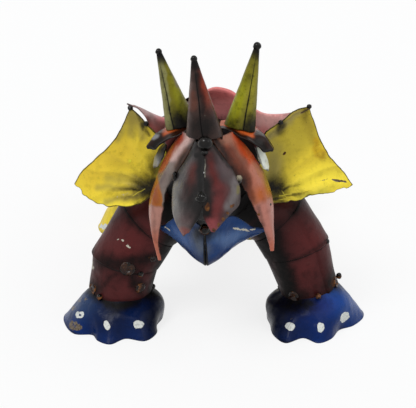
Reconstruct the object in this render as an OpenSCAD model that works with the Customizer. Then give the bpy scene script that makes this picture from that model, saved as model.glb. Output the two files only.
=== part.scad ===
// Triceratops figure welded together from rolled and hammered sheet steel.
// Millimetres, +Z up, the head looks along -Y.
// Origin: on the floor under the middle of the figure.
// "Forward" means along -Y, "back" along +Y, "left" along -X and "right" along +X.

/* [Sheet steel] */
// Thickness of the cut and hammered plates
plate_t = 1.2; // [0.8:0.1:1.8]
// Thickness of the rolled tubes, bands and cones
tube_t = 1.4; // [1:0.1:2.2]
// Width of the gap at a seam between two pieces
seam_gap = 0.3; // [0.2:0.05:0.5]
// Gap between a tube cut to shape and the piece it stands against
fit_gap = 0.25; // [0.15:0.05:0.4]

/* [Stance] */
// Distance from the origin forward to the front legs
front_leg_forward = 114; // [104:1:124]
// Distance from the front legs back to the hind legs
leg_spacing = 231; // [215:1:245]
// Sideways distance by which the end of the rump stands to the left of the head
body_sway = 8; // [0:1:12]

/* [Neck and body] */
// Length of the skull from its front to the neck
skull_len = 58; // [54:1:62]
// Height of the skull's front above its back
skull_rise = 15; // [12:1:18]
// Radius of the skull at its front
skull_front_r = 22.5; // [21:0.5:24]
// Radius of the neck behind the skull
skull_back_r = 36; // [34:1:39]
// Length of the neck from the skull to the chest
neck_len = 30; // [26:1:34]
// Height of the neck's front above its back
neck_rise = 19; // [15:1:23]
// Distance from the front legs forward to the joint of neck and chest
neck_back = 10; // [6:1:14]
// Radius of the neck at the chest
neck_back_r = 41; // [38:1:44]
// Distance from the front legs back to the end of the chest
chest_back = 40; // [34:1:46]
// Height of the chest's front above its back
chest_rise = 27; // [23:1:31]
// Radius of the body at the end of the chest as a share of the barrel's
chest_back_share = 0.915; // [0.88:0.005:0.96]
// Length of the shoulder band
shoulder_len = 68; // [60:1:75]
// Height of the shoulder band's front above its back
shoulder_rise = 12; // [8:1:16]
// Radius of the body at the front of the barrel
barrel_r = 59; // [55:1:62]
// Length of the barrel band
barrel_len = 67; // [60:1:74]
// Height of the barrel's front above its back
barrel_rise = 3; // [1:0.5:6]
// Radius of the body at the front of the loin as a share of the barrel's
loin_share = 0.898; // [0.86:0.002:0.94]
// Length of the loin band
loin_len = 87; // [85:1:93]
// Height of the loin's front above its back
loin_rise = 5; // [2:1:8]
// Radius of the body at the end of the rump as a share of the barrel's
rump_share = 0.712; // [0.68:0.002:0.74]

/* [Tail] */
// Length of the tail root
tail_root_len = 38; // [32:1:44]
// Height of the tail root's front above its back
tail_root_rise = 10; // [7:1:13]
// Radius of the tail at the end of its root
tail_root_r = 28; // [25:1:31]
// Length of the tail's middle piece
tail_mid_len = 36; // [30:1:42]
// Height of the front of the tail's middle piece above its back
tail_mid_rise = 11; // [8:1:14]
// Radius of the tail's middle piece at its end
tail_mid_r = 16; // [14:1:19]
// Length of the tail's tip
tail_tip_len = 34; // [28:1:40]
// Height of the front of the tail's tip above its point
tail_tip_rise = 5; // [1:1:9]
// Radius of the tail at its point
tail_tip_r = 4; // [3:0.5:6]

/* [Front legs] */
// Radius of a leg tube
leg_r = 28.4; // [26.5:0.1:30]
// Height of the left ankle above the floor
left_ankle_height = 31; // [29:0.5:33]
// Height of the left shin from ankle to knee
left_shin_h = 27.5; // [26:0.5:29]
// Height of the left thigh from knee to elbow
left_thigh_h = 34.5; // [33:0.5:36]
// Slope of the left shoulder tube
left_shoulder_slope = 35.7; // [33:0.1:38]
// Slope of the right shoulder tube
right_shoulder_slope = 31.4; // [29:0.2:33.4]
// How far below the body's middle a front shoulder starts
front_root_drop = 2.6; // [0:0.2:5]
// Sideways distance from the elbow out to the left knee
left_knee_step = 20.4; // [18:0.2:23]
// Slope of the cut through the left knee
left_knee_slope = 13; // [8:1:20]
// Sideways distance from the left knee out to the left ankle
left_ankle_step = 5.5; // [3:0.5:8]
// Radius of the left front leg at the ankle
left_ankle_r = 27; // [25.5:0.1:28.2]
// Slope of the left ankle towards the inside
left_ankle_slope = 3; // [0:1:8]
// Height of the right ankle above the floor
right_ankle_height = 33; // [31:0.5:35]
// Height of the right knee as a share of the way from ankle to elbow
right_knee_share = 0.576; // [0.53:0.002:0.61]
// Sideways distance from the elbow out to the right knee
right_knee_step = 16.9; // [14.5:0.1:19]
// Slope of the cut through the right knee
right_knee_slope = 18; // [12:1:24]
// Sideways distance from the right knee out to the right ankle
right_ankle_step = 12.5; // [10:0.5:15]
// Radius of the right front leg at the ankle
right_ankle_r = 25.4; // [24:0.1:27]
// Slope of the right ankle towards the inside
right_ankle_slope = 15; // [10:1:18]
// Angle by which the front of every ankle is lifted
ankle_pitch = 2; // [0:0.5:5]

/* [Hind legs] */
// Slope of the hip tubes
hip_slope = 19.4; // [17:0.2:22]
// How far above the body's middle a hip starts
hind_root_rise = 12.2; // [10:0.2:15]
// Sideways distance from the elbow of the hip out to the hind knee
hind_knee_step = 3.6; // [2:0.2:6]
// Height of the hind knee as a share of the way from ankle to elbow
hind_knee_share = 0.451; // [0.42:0.001:0.48]
// Slope of the cut through the hind knee
hind_knee_slope = 16; // [10:1:22]
// Radius of a hind leg at the ankle
hind_ankle_r = 26.4; // [25:0.1:28]
// Height of the hind ankle above the floor
hind_ankle_height = 35; // [32:1:38]
// Slope of the hind ankle towards the inside
hind_ankle_slope = 8; // [4:1:12]

/* [Feet] */
// Reach of a foot from its middle to its longest toe
foot_reach = 50; // [47:1:53]
// How much wider a leg tube is than the foot's collar inside it
collar_gap = 0.6; // [0.5:0.05:0.8]
// How far a foot's collar stands up inside the leg tube
collar_rise = 4; // [3:0.5:6]
// Share of the reach to which a foot is round above its toes
foot_calm_share = 0.86; // [0.82:0.01:0.92]
// Share of the slope of a foot that bulges outwards
foot_bulge_share = 0.66; // [0.6:0.01:0.72]

/* [Head] */
// Angle at which the head turns to the left
head_turn = 4.4; // [0:0.2:8]
// Half width across the cheeks as a share of the skull's radius at its front
cheek_width_share = 2.222; // [2.1:0.002:2.3]
// Depth of a cheek plate
cheek_d = 34; // [31:1:36]
// Height of a cheek plate
cheek_h = 108; // [104:1:112]
// How far a cheek plate rises above the top of the skull's front
cheek_rise = 3; // [2.6:0.1:3.2]
// How far a cheek plate starts ahead of the skull's front
cheek_ahead = 6; // [3:1:9]
// Half width of the beak as a share of the half width across the cheeks
beak_width_share = 0.5; // [0.46:0.01:0.52]
// Depth of the beak from its top edge to its tip
beak_d = 38; // [35:1:41]
// Height of the beak from its lobes to its top edge
beak_h = 64.5; // [62:0.5:67]
// How far the beak's top edge rises above the top of the skull's front
beak_rise = 1.5; // [0.5:0.1:2]
// How far the beak's top edge stands ahead of the skull's front
beak_ahead = 10; // [7:1:13]
// Half width of the lower jaw as a share of the half width across the cheeks
jaw_width_share = 0.8; // [0.79:0.002:0.802]
// Depth of the lower jaw
jaw_d = 58; // [54:1:62]
// Height of the lower jaw
jaw_h = 38; // [35:1:41]

/* [Brows and eyes] */
// Radius to which a brow plate is rolled
brow_r = 52; // [49:1:55]
// How far the top of a brow plate's roll lies above the top of the skull's front
brow_rise = 4.5; // [4.4:0.1:5]
// Sideways distance to the middle of a brow plate's roll
brow_out = 11; // [9:0.5:13]
// Length of a brow plate from front to back
brow_len = 34; // [30:1:38]
// Distance from the skull's front back to the middle of a brow plate
brow_behind = 28; // [25:1:31]
// Radius of an eye disc
eye_r = 11; // [9:0.5:12]

/* [Horns] */
// Length of the nose horn
nose_horn_len = 62; // [56:1:68]
// Radius of the nose horn at its foot
nose_horn_r = 14; // [12.5:0.5:15.5]
// Lean of the nose horn towards the front
nose_horn_lean = 9; // [5:1:13]
// Tilt of the nose horn to the left
nose_horn_tilt = 6.5; // [3:0.5:11]
// How far the foot of the nose horn stands ahead of the skull's front
nose_horn_ahead = 6; // [4:0.5:9]
// Sideways distance of the nose horn's foot to the left
nose_horn_out = 2; // [0:0.5:4]
// Length of the left brow horn
left_brow_horn_len = 63; // [58:1:69]
// Spread of the left brow horn to the side
left_brow_horn_spread_angle = 14.5; // [11:0.5:18]
// Length of the right brow horn
right_brow_horn_len = 68; // [62:1:74]
// Spread of the right brow horn to the side
right_brow_horn_spread_angle = 11; // [8:0.5:14]
// Radius of a brow horn at its foot
brow_horn_r = 12.3; // [11:0.1:13.5]
// Lean of a brow horn towards the front
brow_horn_lean = 10; // [6:1:14]
// Sideways distance to the foot of a brow horn
brow_horn_out = 23; // [21:0.5:25]
// Radius of a horn at its tip
horn_tip_r = 1.9; // [1.6:0.1:2.6]
// Angle of the slit left open where a horn's edges meet
horn_slit_angle = 7; // [4:1:12]

/* [Frill] */
// Width of a yellow frill plate
frill_w = 80; // [76:1:84]
// Depth of a frill plate
frill_d = 31; // [28:1:34]
// Height of a frill plate
frill_h = 87; // [83:1:90]
// Height of the crown above the neck's middle
crown_h = 73; // [69:1:76]
// How far the crown's wings come forward from the neck
crown_d = 45; // [42:1:48]

/* [Hidden] */

// Colours of the paint
maroon = [0.36, 0.11, 0.13];
rose = [0.66, 0.27, 0.32];
yellow = [0.86, 0.76, 0.14];
lime = [0.62, 0.62, 0.12];
blue = [0.10, 0.25, 0.60];
orange = [0.85, 0.36, 0.16];
salmon = [0.82, 0.52, 0.44];
gunmetal = [0.38, 0.34, 0.34];
pale = [0.80, 0.80, 0.78];
soot = [0.16, 0.13, 0.12];

// Every cut reaches this far past what it cuts
overrun = 1;
// Half the side of a block that cuts away everything past a plane
cut_reach = 150;
// Steps round a full circle
$fn = 64;

// Shares by which pieces that meet keep to one another

// Sideways reach of an elbow, made up of shares of the body's and of the leg's radius
front_elbow_body_share = 0.95;
hind_elbow_body_share = 1.05;
elbow_leg_share = 0.5;
// Width of the crown, taken from the frill plates that it joins
crown_reach_share = 0.4625;
// Place of a frill plate's corner on the end of the crown, forwards and up
crown_forward_share = 0.7;
crown_up_share = 0.904;
frill_forward_share = 0.3065;
// Place of the jaw's corners on the cheek plates, in depth and height
jaw_depth_share = 0.582;
jaw_height_share = 0.276;
// Place on a cheek plate that an eye's rim stands against, and the way from there to its middle
eye_seat_share = [0.714, 0.89, 0.771];
eye_away_share = [0.41, 0.885, -0.21];

// Distances back of the stations

skull_back = neck_back + neck_len;
skull_front = skull_back + skull_len;
barrel_back = chest_back + shoulder_len;
loin_back = barrel_back + barrel_len;
rump_back = loin_back + loin_len;
tail_root_back = rump_back + tail_root_len;
tail_mid_back = tail_root_back + tail_mid_len;

// Radius of the body at a share of the way between two radii
function mixed(a, b, share) = a + (b - a) * share;
chest_share = neck_back / (neck_back + chest_back);
hip_share = (leg_spacing - loin_back) / loin_len;
chest_back_r = chest_back_share * barrel_r;
loin_r = loin_share * barrel_r;
rump_r = rump_share * barrel_r;
front_body_r = mixed(neck_back_r, chest_back_r, chest_share);
hind_body_r = mixed(loin_r, rump_r, hip_share);

// Elbows, and the heights of body and head that stand on the left front leg

front_elbow_out = front_elbow_body_share * front_body_r + elbow_leg_share * leg_r;
hind_elbow_out = hind_elbow_body_share * hind_body_r + elbow_leg_share * leg_r;
left_knee_height = left_ankle_height + left_shin_h;
left_elbow_height = left_knee_height + left_thigh_h;
front_root_height = left_elbow_height + front_elbow_out * tan(left_shoulder_slope);
neck_back_height = front_root_height + front_root_drop + chest_rise * chest_share;
chest_back_height = neck_back_height - chest_rise;
barrel_height = chest_back_height - shoulder_rise;
loin_height = barrel_height - barrel_rise;
rump_height = loin_height - loin_rise;
tail_root_height = rump_height - tail_root_rise;
tail_mid_height = tail_root_height - tail_mid_rise;
skull_back_height = neck_back_height + neck_rise;
skull_front_height = skull_back_height + skull_rise;
skull_top = skull_front_height + skull_front_r;
right_elbow_height = front_root_height - front_elbow_out * tan(right_shoulder_slope);
right_knee_height = mixed(right_ankle_height, right_elbow_height, right_knee_share);
hind_root_height = mixed(loin_height, rump_height, hip_share) + hind_root_rise;
hind_elbow_height = hind_root_height - hind_elbow_out * tan(hip_slope);
hind_knee_height = mixed(hind_ankle_height, hind_elbow_height, hind_knee_share);

// Sideways places of knees and ankles

left_knee_out = front_elbow_out + left_knee_step;
left_ankle_out = left_knee_out + left_ankle_step;
right_knee_out = front_elbow_out + right_knee_step;
right_ankle_out = right_knee_out + right_ankle_step;
hind_knee_out = hind_elbow_out + hind_knee_step;

// Angles round a leg tube at which its lapped edge lies, and how far edges lap
front_lap_angle = 200;
right_shin_lap_angle = 235;
hind_left_lap_angle = 20;
hind_right_lap_angle = 160;
leg_lap_angle = 14;
body_lap_angle = 9;

// Stations of the neck, body and tail: [distance back, height, radius]
stations = [
    [-skull_front, skull_front_height, skull_front_r],
    [-skull_back, skull_back_height, skull_back_r],
    [-neck_back, neck_back_height, neck_back_r],
    [chest_back, chest_back_height, chest_back_r],
    [barrel_back, barrel_height, barrel_r],
    [loin_back, loin_height, loin_r],
    [rump_back, rump_height, rump_r],
    [tail_root_back, tail_root_height, tail_root_r],
    [tail_mid_back, tail_mid_height, tail_mid_r],
    [tail_mid_back + tail_tip_len, tail_mid_height - tail_tip_rise, tail_tip_r]];

// Points and directions

function unit(v) = v / norm(v);
// Sideways place of the body's middle at a distance back
function sway(back) = -body_sway * max(back, 0) / rump_back;
function station_point(i) = [sway(stations[i].x), stations[i].x, stations[i].y];
function station_way(i) = unit(station_point(i + 1) - station_point(i));
// Direction square to the seam at a station
function seam_way(i) =
    i == 0 ? station_way(0)
    : i == len(stations) - 1 ? station_way(i - 1)
    : unit(station_way(i - 1) + station_way(i));
// Point of a list, carried on past its ends in a straight line
function past(list, i) =
    i < 0 ? 2 * list[0] - list[1]
    : i > len(list) - 1 ? 2 * list[len(list) - 1] - list[len(list) - 2]
    : list[i];
// Smooth curve between b and c, with a and d as their neighbours
function between(a, b, c, d, t) =
    b + (c - a) * t / 2 + (2 * a - 5 * b + 4 * c - d) * t * t / 2
    + (3 * b - a - 3 * c + d) * t * t * t / 2;
// Point at share t of a smooth curve through a list of points
function along(list, t) =
    let (s = t * (len(list) - 1), i = min(floor(s), len(list) - 2))
    between(past(list, i - 1), list[i], list[i + 1], past(list, i + 2), s - i);
// Point at share t of a smooth closed curve
function around(list, t) =
    let (n = len(list), s = t * n, i = floor(s))
    between(list[(i + n - 1) % n], list[i % n], list[(i + 1) % n], list[(i + 2) % n], s - i);
// Points given as shares of a size, measured from a corner
function spread_out(shares, size, corner) =
    [for (s = shares) [corner.x + s.x * size.x, corner.y + s.y * size.y, corner.z + s.z * size.z]];

// Grid of points that fills four edges. low and high run from near to far,
// near and far run from low to high. The middle swells by the vector swell.
function patch(low, high, near, far, cells, swell, end_share = 0.4) =
    [for (j = [0 : cells.y]) let (v = j / cells.y)
        [for (i = [0 : cells.x]) let (u = i / cells.x)
            (1 - v) * along(low, u) + v * along(high, u)
            + (1 - u) * along(near, v) + u * along(far, v)
            - (1 - u) * (1 - v) * low[0] - u * (1 - v) * past(low, len(low) - 1)
            - (1 - u) * v * high[0] - u * v * past(high, len(high) - 1)
            + swell * 4 * u * (1 - u) * (end_share + (1 - end_share) * 4 * v * (1 - v))]];

// Plate with an even thickness over a grid of points
module skin(grid, wall, loop = false) {
    rows = len(grid);
    cols = len(grid[0]);
    count = rows * cols;
    last = loop ? cols - 1 : cols - 2;
    function left_of(j) = loop ? (j + cols - 1) % cols : max(j - 1, 0);
    function right_of(j) = loop ? (j + 1) % cols : min(j + 1, cols - 1);
    function normal(i, j) = unit(cross(
        grid[i][right_of(j)] - grid[i][left_of(j)],
        grid[min(i + 1, rows - 1)][j] - grid[max(i - 1, 0)][j]));
    function at(i, j) = i * cols + j % cols;
    points = [for (side = [1, -1]) for (i = [0 : rows - 1]) for (j = [0 : cols - 1])
        grid[i][j] + side * normal(i, j) * wall / 2];
    faces = [for (i = [0 : rows - 2]) for (j = [0 : last])
            let (a = at(i, j), b = at(i, j + 1), c = at(i + 1, j + 1), d = at(i + 1, j))
            each [[a, d, c], [a, c, b],
                  [a + count, c + count, d + count], [a + count, b + count, c + count]]];
    low_rim = [for (j = [0 : last]) let (a = at(0, j), b = at(0, j + 1))
            each [[a, b, b + count], [a, b + count, a + count]]];
    high_rim = [for (j = [0 : last]) let (a = at(rows - 1, j), b = at(rows - 1, j + 1))
            each [[a, b + count, b], [a, a + count, b + count]]];
    side_rims = loop ? [] : [for (i = [0 : rows - 2])
            let (a = at(i, 0), d = at(i + 1, 0), b = at(i, cols - 1), c = at(i + 1, cols - 1))
            each [[a, d + count, d], [a, a + count, d + count],
                  [b, c, c + count], [b, c + count, b + count]]];
    polyhedron(points, concat(faces, low_rim, high_rim, side_rims), convexity = 6);
}

// Rolled tubes and cones

// Turns +Z to a direction
module pointing(way) {
    rotate([0, acos(way.z), atan2(way.y, way.x)]) children();
}
// Everything past a plane through a point, on the side that way points to
module beyond(point, way) {
    translate(point) pointing(way)
        translate([-cut_reach, -cut_reach, 0]) cube(2 * cut_reach);
}
// Solid cone from a to b that runs on past both ends by extra
module solid_cone(a, b, r_a, r_b, extra, grow = 0) {
    length = norm(b - a);
    gain = (r_b - r_a) / length;
    translate(a) pointing(unit(b - a)) translate([0, 0, -extra])
        cylinder(h = length + 2 * extra, r1 = r_a - gain * extra + grow,
                 r2 = r_b + gain * extra + grow);
}
// Rolled wall from a to b, cut by a plane at each end, with a lapped edge along it
module rolled(a, b, r_a, r_b, way_a, way_b, extra, lap_at = 0, lap = 0) {
    length = norm(b - a);
    gain = (r_b - r_a) / length;
    r_low = r_a - gain * extra;
    r_high = r_b + gain * extra;
    h = length + 2 * extra;
    difference() {
        translate(a) pointing(unit(b - a)) translate([0, 0, -extra]) {
            rotate_extrude()
                polygon([[r_low - tube_t, 0], [r_low, 0], [r_high, h],
                         [max(r_high - tube_t, 0), h]]);
            if (lap > 0)
                rotate([0, 0, lap_at]) rotate_extrude(angle = lap)
                    polygon([[r_low - tube_t / 2, 0], [r_low + tube_t, 0],
                             [r_high + tube_t, h], [r_high - tube_t / 2, h]]);
        }
        beyond(a + way_a * seam_gap / 2, -way_a);
        beyond(b - way_b * seam_gap / 2, way_b);
    }
}
// Moves from the front legs to the origin
module stand() {
    translate([0, -front_leg_forward, 0]) children();
}
// Places a piece of the head, which turns on the neck
module on_head() {
    stand() translate([0, -skull_back, 0]) rotate([0, 0, -head_turn])
        translate([0, skull_back, 0]) children();
}
// One band of the body between two stations
module band(i, lap_at = 0) {
    stand() rolled(station_point(i), station_point(i + 1), stations[i].z, stations[i + 1].z,
                   seam_way(i), seam_way(i + 1), stations[i + 1].z / 2, lap_at,
                   body_lap_angle);
}
// Filled body along band i and past both its ends, grown by a gap
module body_fill(i, grow) {
    solid_cone(station_point(i), station_point(i + 1), stations[i].z, stations[i + 1].z,
               5 / 4 * leg_r, grow);
}

// Neck, body and tail

module skull() {
    color(soot) difference() {
        on_head() rolled(station_point(0), station_point(1), skull_front_r, skull_back_r,
                         station_way(0), station_way(0), skull_back_r / 3);
        stand() beyond(station_point(1) - seam_way(1) * seam_gap / 2, seam_way(1));
    }
}
module neck_band() { color(maroon) band(1); }
module chest_band() { color(maroon) band(2); }
module shoulder_band() { color(maroon) band(3); }
module barrel_band() { color(maroon) band(4); }
module loin_band() { color(maroon) band(5); }
module tail_root() { color(maroon) band(6); }
module tail_middle() { color(maroon) band(7); }
module tail_tip() { color(maroon) band(8); }

// Legs

// Points of a leg from [distance to the side, height] of its root, elbow, knee and ankle
function leg_points(y, side, places) = [for (p = places) [sway(y) + side * p.x, y, p.y]];
front_left = leg_points(0, -1,
    [[0, front_root_height], [front_elbow_out, left_elbow_height],
     [left_knee_out, left_knee_height], [left_ankle_out, left_ankle_height]]);
front_right = leg_points(0, 1,
    [[0, front_root_height], [front_elbow_out, right_elbow_height],
     [right_knee_out, right_knee_height], [right_ankle_out, right_ankle_height]]);
hind_places = [[0, hind_root_height], [hind_elbow_out, hind_elbow_height],
               [hind_knee_out, hind_knee_height], [hind_knee_out, hind_ankle_height]];
hind_left = leg_points(leg_spacing, -1, hind_places);
hind_right = leg_points(leg_spacing, 1, hind_places);

function leg_way(leg, i) = unit(leg[i + 1] - leg[i]);
// Direction square to the cut at a joint of the leg
function joint_way(leg, i) = unit(leg_way(leg, i - 1) + leg_way(leg, i));
// Direction down out of the ankle's cut, which slopes to the inside and to the front
function ankle_way(slope) =
    let (s = sin(slope), p = sin(ankle_pitch)) [s, -p, -sqrt(1 - s * s - p * p)];
// Direction square to the cut at a knee
function knee_way(slope) = [sin(slope), 0, -cos(slope)];

// Top tube of a leg, cut to the round of band i
module leg_top(leg, i) {
    difference() {
        stand() rolled(leg[0], leg[1], leg_r, leg_r, leg_way(leg, 0), joint_way(leg, 1), leg_r / 2);
        stand() body_fill(i, fit_gap);
    }
}
// Middle tube of a leg, from elbow to knee
module leg_middle(leg, i, slope, lap_at) {
    difference() {
        stand() rolled(leg[1], leg[2], leg_r, leg_r, joint_way(leg, 1), knee_way(slope),
                       leg_r, lap_at, leg_lap_angle);
        stand() body_fill(i, fit_gap);
    }
}
// Lowest tube of a leg, which stands over the foot's collar
module leg_low(leg, ankle_r, knee_slope, slope, lap_at) {
    stand() rolled(leg[2], leg[3], leg_r, ankle_r, knee_way(knee_slope),
                   ankle_way(slope), leg_r / 2, lap_at, leg_lap_angle);
}

module front_shoulder_left() { color(maroon) leg_top(front_left, 2); }
module front_thigh_left() {
    color(maroon) leg_middle(front_left, 2, -left_knee_slope, front_lap_angle);
}
module front_shin_left() {
    color(maroon) leg_low(front_left, left_ankle_r, -left_knee_slope, -left_ankle_slope,
                          front_lap_angle);
}
module front_shoulder_right() { color(maroon) leg_top(front_right, 2); }
module front_thigh_right() {
    color(maroon) leg_middle(front_right, 2, right_knee_slope, front_lap_angle);
}
module front_shin_right() {
    color(maroon) leg_low(front_right, right_ankle_r, right_knee_slope, right_ankle_slope,
                          right_shin_lap_angle);
}
module hind_hip_left() { color(maroon) leg_top(hind_left, 5); }
module hind_thigh_left() {
    color(maroon) leg_middle(hind_left, 5, -hind_knee_slope, hind_left_lap_angle);
}
module hind_shin_left() {
    color(maroon) leg_low(hind_left, hind_ankle_r, -hind_knee_slope, -hind_ankle_slope,
                          hind_left_lap_angle);
}
module hind_hip_right() { color(maroon) leg_top(hind_right, 5); }
module hind_thigh_right() {
    color(maroon) leg_middle(hind_right, 5, hind_knee_slope, hind_right_lap_angle);
}
module hind_shin_right() {
    color(maroon) leg_low(hind_right, hind_ankle_r, hind_knee_slope, hind_ankle_slope,
                          hind_right_lap_angle);
}

// Feet

// Outline of a foot on the floor: [angle from the front to the outside, share of the reach]
left_foot_shares = [[-95, 0.72], [-68, 0.68], [-48, 0.86], [-28, 0.97], [-9, 0.78], [7, 0.99],
    [22, 0.92], [37, 0.78], [53, 0.97], [76, 1.00], [100, 1.04], [130, 0.98], [160, 0.88],
    [185, 0.84], [212, 0.82], [240, 0.78]];
right_foot_shares = [[-95, 0.72], [-70, 0.72], [-46, 0.90], [-26, 1.04], [-11, 0.76], [6, 0.94],
    [24, 0.84], [49, 0.67], [72, 0.82], [95, 1.00], [113, 1.06], [135, 0.98], [160, 0.88],
    [185, 0.84], [212, 0.82], [240, 0.78]];
hind_foot_shares = [[-95, 0.76], [-70, 0.80], [-46, 0.92], [-28, 0.88], [-12, 0.74], [4, 0.86],
    [20, 0.86], [36, 0.75], [54, 0.94], [76, 0.98], [100, 0.98], [130, 0.92], [160, 0.86],
    [185, 0.84], [212, 0.82], [240, 0.78]];
// Cells round a foot and down its slope
foot_cell_counts = [40, 6];

// Hollow hammered foot. Its collar stands in the leg tube, and its toes lie on the floor.
module foot(ankle, ankle_r, slope, side, shares) {
    down = ankle_way(slope);
    across = unit(cross(down, [0, 1, 0]));
    ahead = cross(down, across);
    collar = ankle_r - tube_t - collar_gap - plate_t / 2;
    outline = [for (s = shares)
        foot_reach * s.y * [side * sin(s.x), -cos(s.x), 0] + [ankle.x, ankle.y, 0]];
    grid = [for (j = [0 : foot_cell_counts.y]) let (v = j / foot_cell_counts.y)
        [for (i = [0 : foot_cell_counts.x - 1])
            let (toe = around(outline, (side > 0 ? i : foot_cell_counts.x - i) / foot_cell_counts.x),
                 turn = atan2(toe.y - ankle.y, toe.x - ankle.x),
                 top = ankle - down * collar_rise
                       + collar * (cos(turn) * across - sin(turn) * ahead),
                 rim = top + down * collar_rise,
                 calm = [ankle.x, ankle.y, 0]
                        + foot_reach * foot_calm_share * [cos(turn), sin(turn), 0],
                 belly = rim + (calm - rim) * 0.5
                         + unit([cos(turn), sin(turn), 1]) * (foot_bulge_share - 0.5) * ankle.z,
                 floor_point = toe + [0, 0, -overrun])
            along([top, rim, belly, floor_point], v)]];
    difference() {
        stand() skin(grid, plate_t, true);
        translate([0, 0, -cut_reach]) cube(2 * [cut_reach, 2 * cut_reach, cut_reach], center = true);
    }
}
module front_foot_left() {
    color(blue) foot(front_left[3], left_ankle_r, -left_ankle_slope, -1, left_foot_shares);
}
module front_foot_right() {
    color(blue) foot(front_right[3], right_ankle_r, right_ankle_slope, 1, right_foot_shares);
}
module hind_foot_left() {
    color(yellow) foot(hind_left[3], hind_ankle_r, -hind_ankle_slope, -1, hind_foot_shares);
}
module hind_foot_right() {
    color(yellow) foot(hind_right[3], hind_ankle_r, hind_ankle_slope, 1, hind_foot_shares);
}

// Beak, cheeks and jaw

cheek_half_w = cheek_width_share * skull_front_r;
beak_size = [beak_width_share * cheek_half_w, beak_d, beak_h];
beak_corner = [0, -skull_front - beak_ahead, skull_top + beak_rise - beak_h];
// Edges of the beak's halves from the lobe up to the top
beak_left_outer_shares = [[-0.59, -0.79, 0], [-0.78, -0.68, 0.09], [-0.95, -0.45, 0.19],
    [-1.02, -0.18, 0.32], [-1.00, -0.04, 0.47], [-0.86, -0.02, 0.62], [-0.62, -0.05, 0.77],
    [-0.33, 0, 1]];
beak_left_inner_shares = [[-0.43, -0.89, 0.07], [-0.28, -0.97, 0.17], [-0.12, -1.00, 0.29],
    [-0.02, -0.99, 0.43], [-0.01, -0.87, 0.58], [-0.01, -0.66, 0.74], [-0.03, -0.42, 0.87],
    [-0.05, -0.13, 0.99]];
beak_right_outer_shares = [[0.31, -0.79, 0.07], [0.56, -0.68, 0.17], [0.81, -0.47, 0.24],
    [1.00, -0.24, 0.30], [0.99, -0.06, 0.46], [0.80, -0.02, 0.64], [0.50, -0.04, 0.81],
    [0.15, 0, 0.98]];
beak_right_inner_shares = [[0.24, -0.89, 0.09], [0.14, -0.97, 0.18], [0.05, -1.00, 0.27],
    [0.02, -0.99, 0.43], [0.01, -0.87, 0.58], [0.01, -0.66, 0.74], [-0.01, -0.42, 0.87],
    [-0.03, -0.13, 0.99]];
// How far a half of the beak swells out
beak_swell = 3.5;
beak_cell_counts = [6, 12];

module beak_half(outer_shares, inner_shares, side) {
    outer = spread_out(outer_shares, beak_size, beak_corner);
    inner = spread_out(inner_shares, beak_size, beak_corner);
    last = len(outer) - 1;
    near = side < 0 ? outer : inner;
    far = side < 0 ? inner : outer;
    on_head() skin(patch([near[0], far[0]], [near[last], far[last]], near, far, beak_cell_counts,
                         unit([side, -1, 0]) * beak_swell), plate_t);
}
module beak_left() { color(gunmetal) beak_half(beak_left_outer_shares, beak_left_inner_shares, -1); }
module beak_right() { color(rose) beak_half(beak_right_outer_shares, beak_right_inner_shares, 1); }

cheek_size = [cheek_half_w, cheek_d, cheek_h];
cheek_corner = [0, -skull_front - cheek_ahead, skull_top + cheek_rise - cheek_h];
// Edges of the cheek plates from the point up to the top
cheek_left_outer_shares = [[-0.81, 0.54, 0], [-0.86, 0.65, 0.16], [-0.93, 0.82, 0.29],
    [-0.94, 0.95, 0.42], [-0.89, 1.00, 0.53], [-0.80, 0.98, 0.66], [-0.64, 0.83, 0.82],
    [-0.40, 0.56, 0.99]];
cheek_left_inner_shares = [[-0.77, 0.53, 0], [-0.80, 0.44, 0.16], [-0.75, 0.33, 0.31],
    [-0.69, 0.24, 0.45], [-0.64, 0.13, 0.59], [-0.50, 0, 0.71], [-0.31, -0.03, 0.86],
    [-0.17, 0.03, 1.00]];
cheek_right_outer_shares = [[1.02, 0.54, 0.10], [1.02, 0.66, 0.20], [1.00, 0.84, 0.31],
    [0.98, 0.95, 0.45], [0.91, 1.00, 0.57], [0.81, 0.98, 0.68], [0.59, 0.80, 0.85],
    [0.35, 0.56, 0.996]];
cheek_right_inner_shares = [[0.98, 0.53, 0.10], [0.90, 0.42, 0.24], [0.79, 0.32, 0.37],
    [0.68, 0.24, 0.49], [0.56, 0.12, 0.62], [0.43, 0.01, 0.73], [0.24, -0.03, 0.87],
    [0.07, 0.03, 0.98]];
// How far a cheek plate swells out
cheek_swell = 5;
cheek_cell_counts = [6, 14];

module cheek(outer_shares, inner_shares, side) {
    outer = spread_out(outer_shares, cheek_size, cheek_corner);
    inner = spread_out(inner_shares, cheek_size, cheek_corner);
    last = len(outer) - 1;
    near = side < 0 ? outer : inner;
    far = side < 0 ? inner : outer;
    on_head() skin(patch([near[0], far[0]], [near[last], far[last]], near, far, cheek_cell_counts,
                         unit([side, -1, 0]) * cheek_swell, 0.1), plate_t);
}
module cheek_left() { color(orange) cheek(cheek_left_outer_shares, cheek_left_inner_shares, -1); }
module cheek_right() { color(salmon) cheek(cheek_right_outer_shares, cheek_right_inner_shares, 1); }

jaw_size = [jaw_width_share * cheek_half_w, jaw_d, jaw_h];
// Fold of the jaw from its front round the chin to the throat
jaw_fold_shares = [[0, 0, 0.97], [0, 0.05, 0.62], [0, 0.13, 0.28], [0, 0.25, 0.04],
    [0, 0.45, -0.02], [0, 0.68, 0.02], [0, 0.90, 0.06]];
// Rim of the jaw from its front to its corner
jaw_rim_shares = [[0.08, 0.02, 1.04], [0.28, 0.20, 1.08], [0.50, 0.39, 1.03], [0.70, 0.54, 0.82],
    [0.86, 0.66, 0.64]];
// Back edge of the jaw from the throat to its corner
jaw_back_shares = [[0, 0.90, 0.06], [0.38, 0.92, 0.10], [0.74, 0.90, 0.26]];
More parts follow.
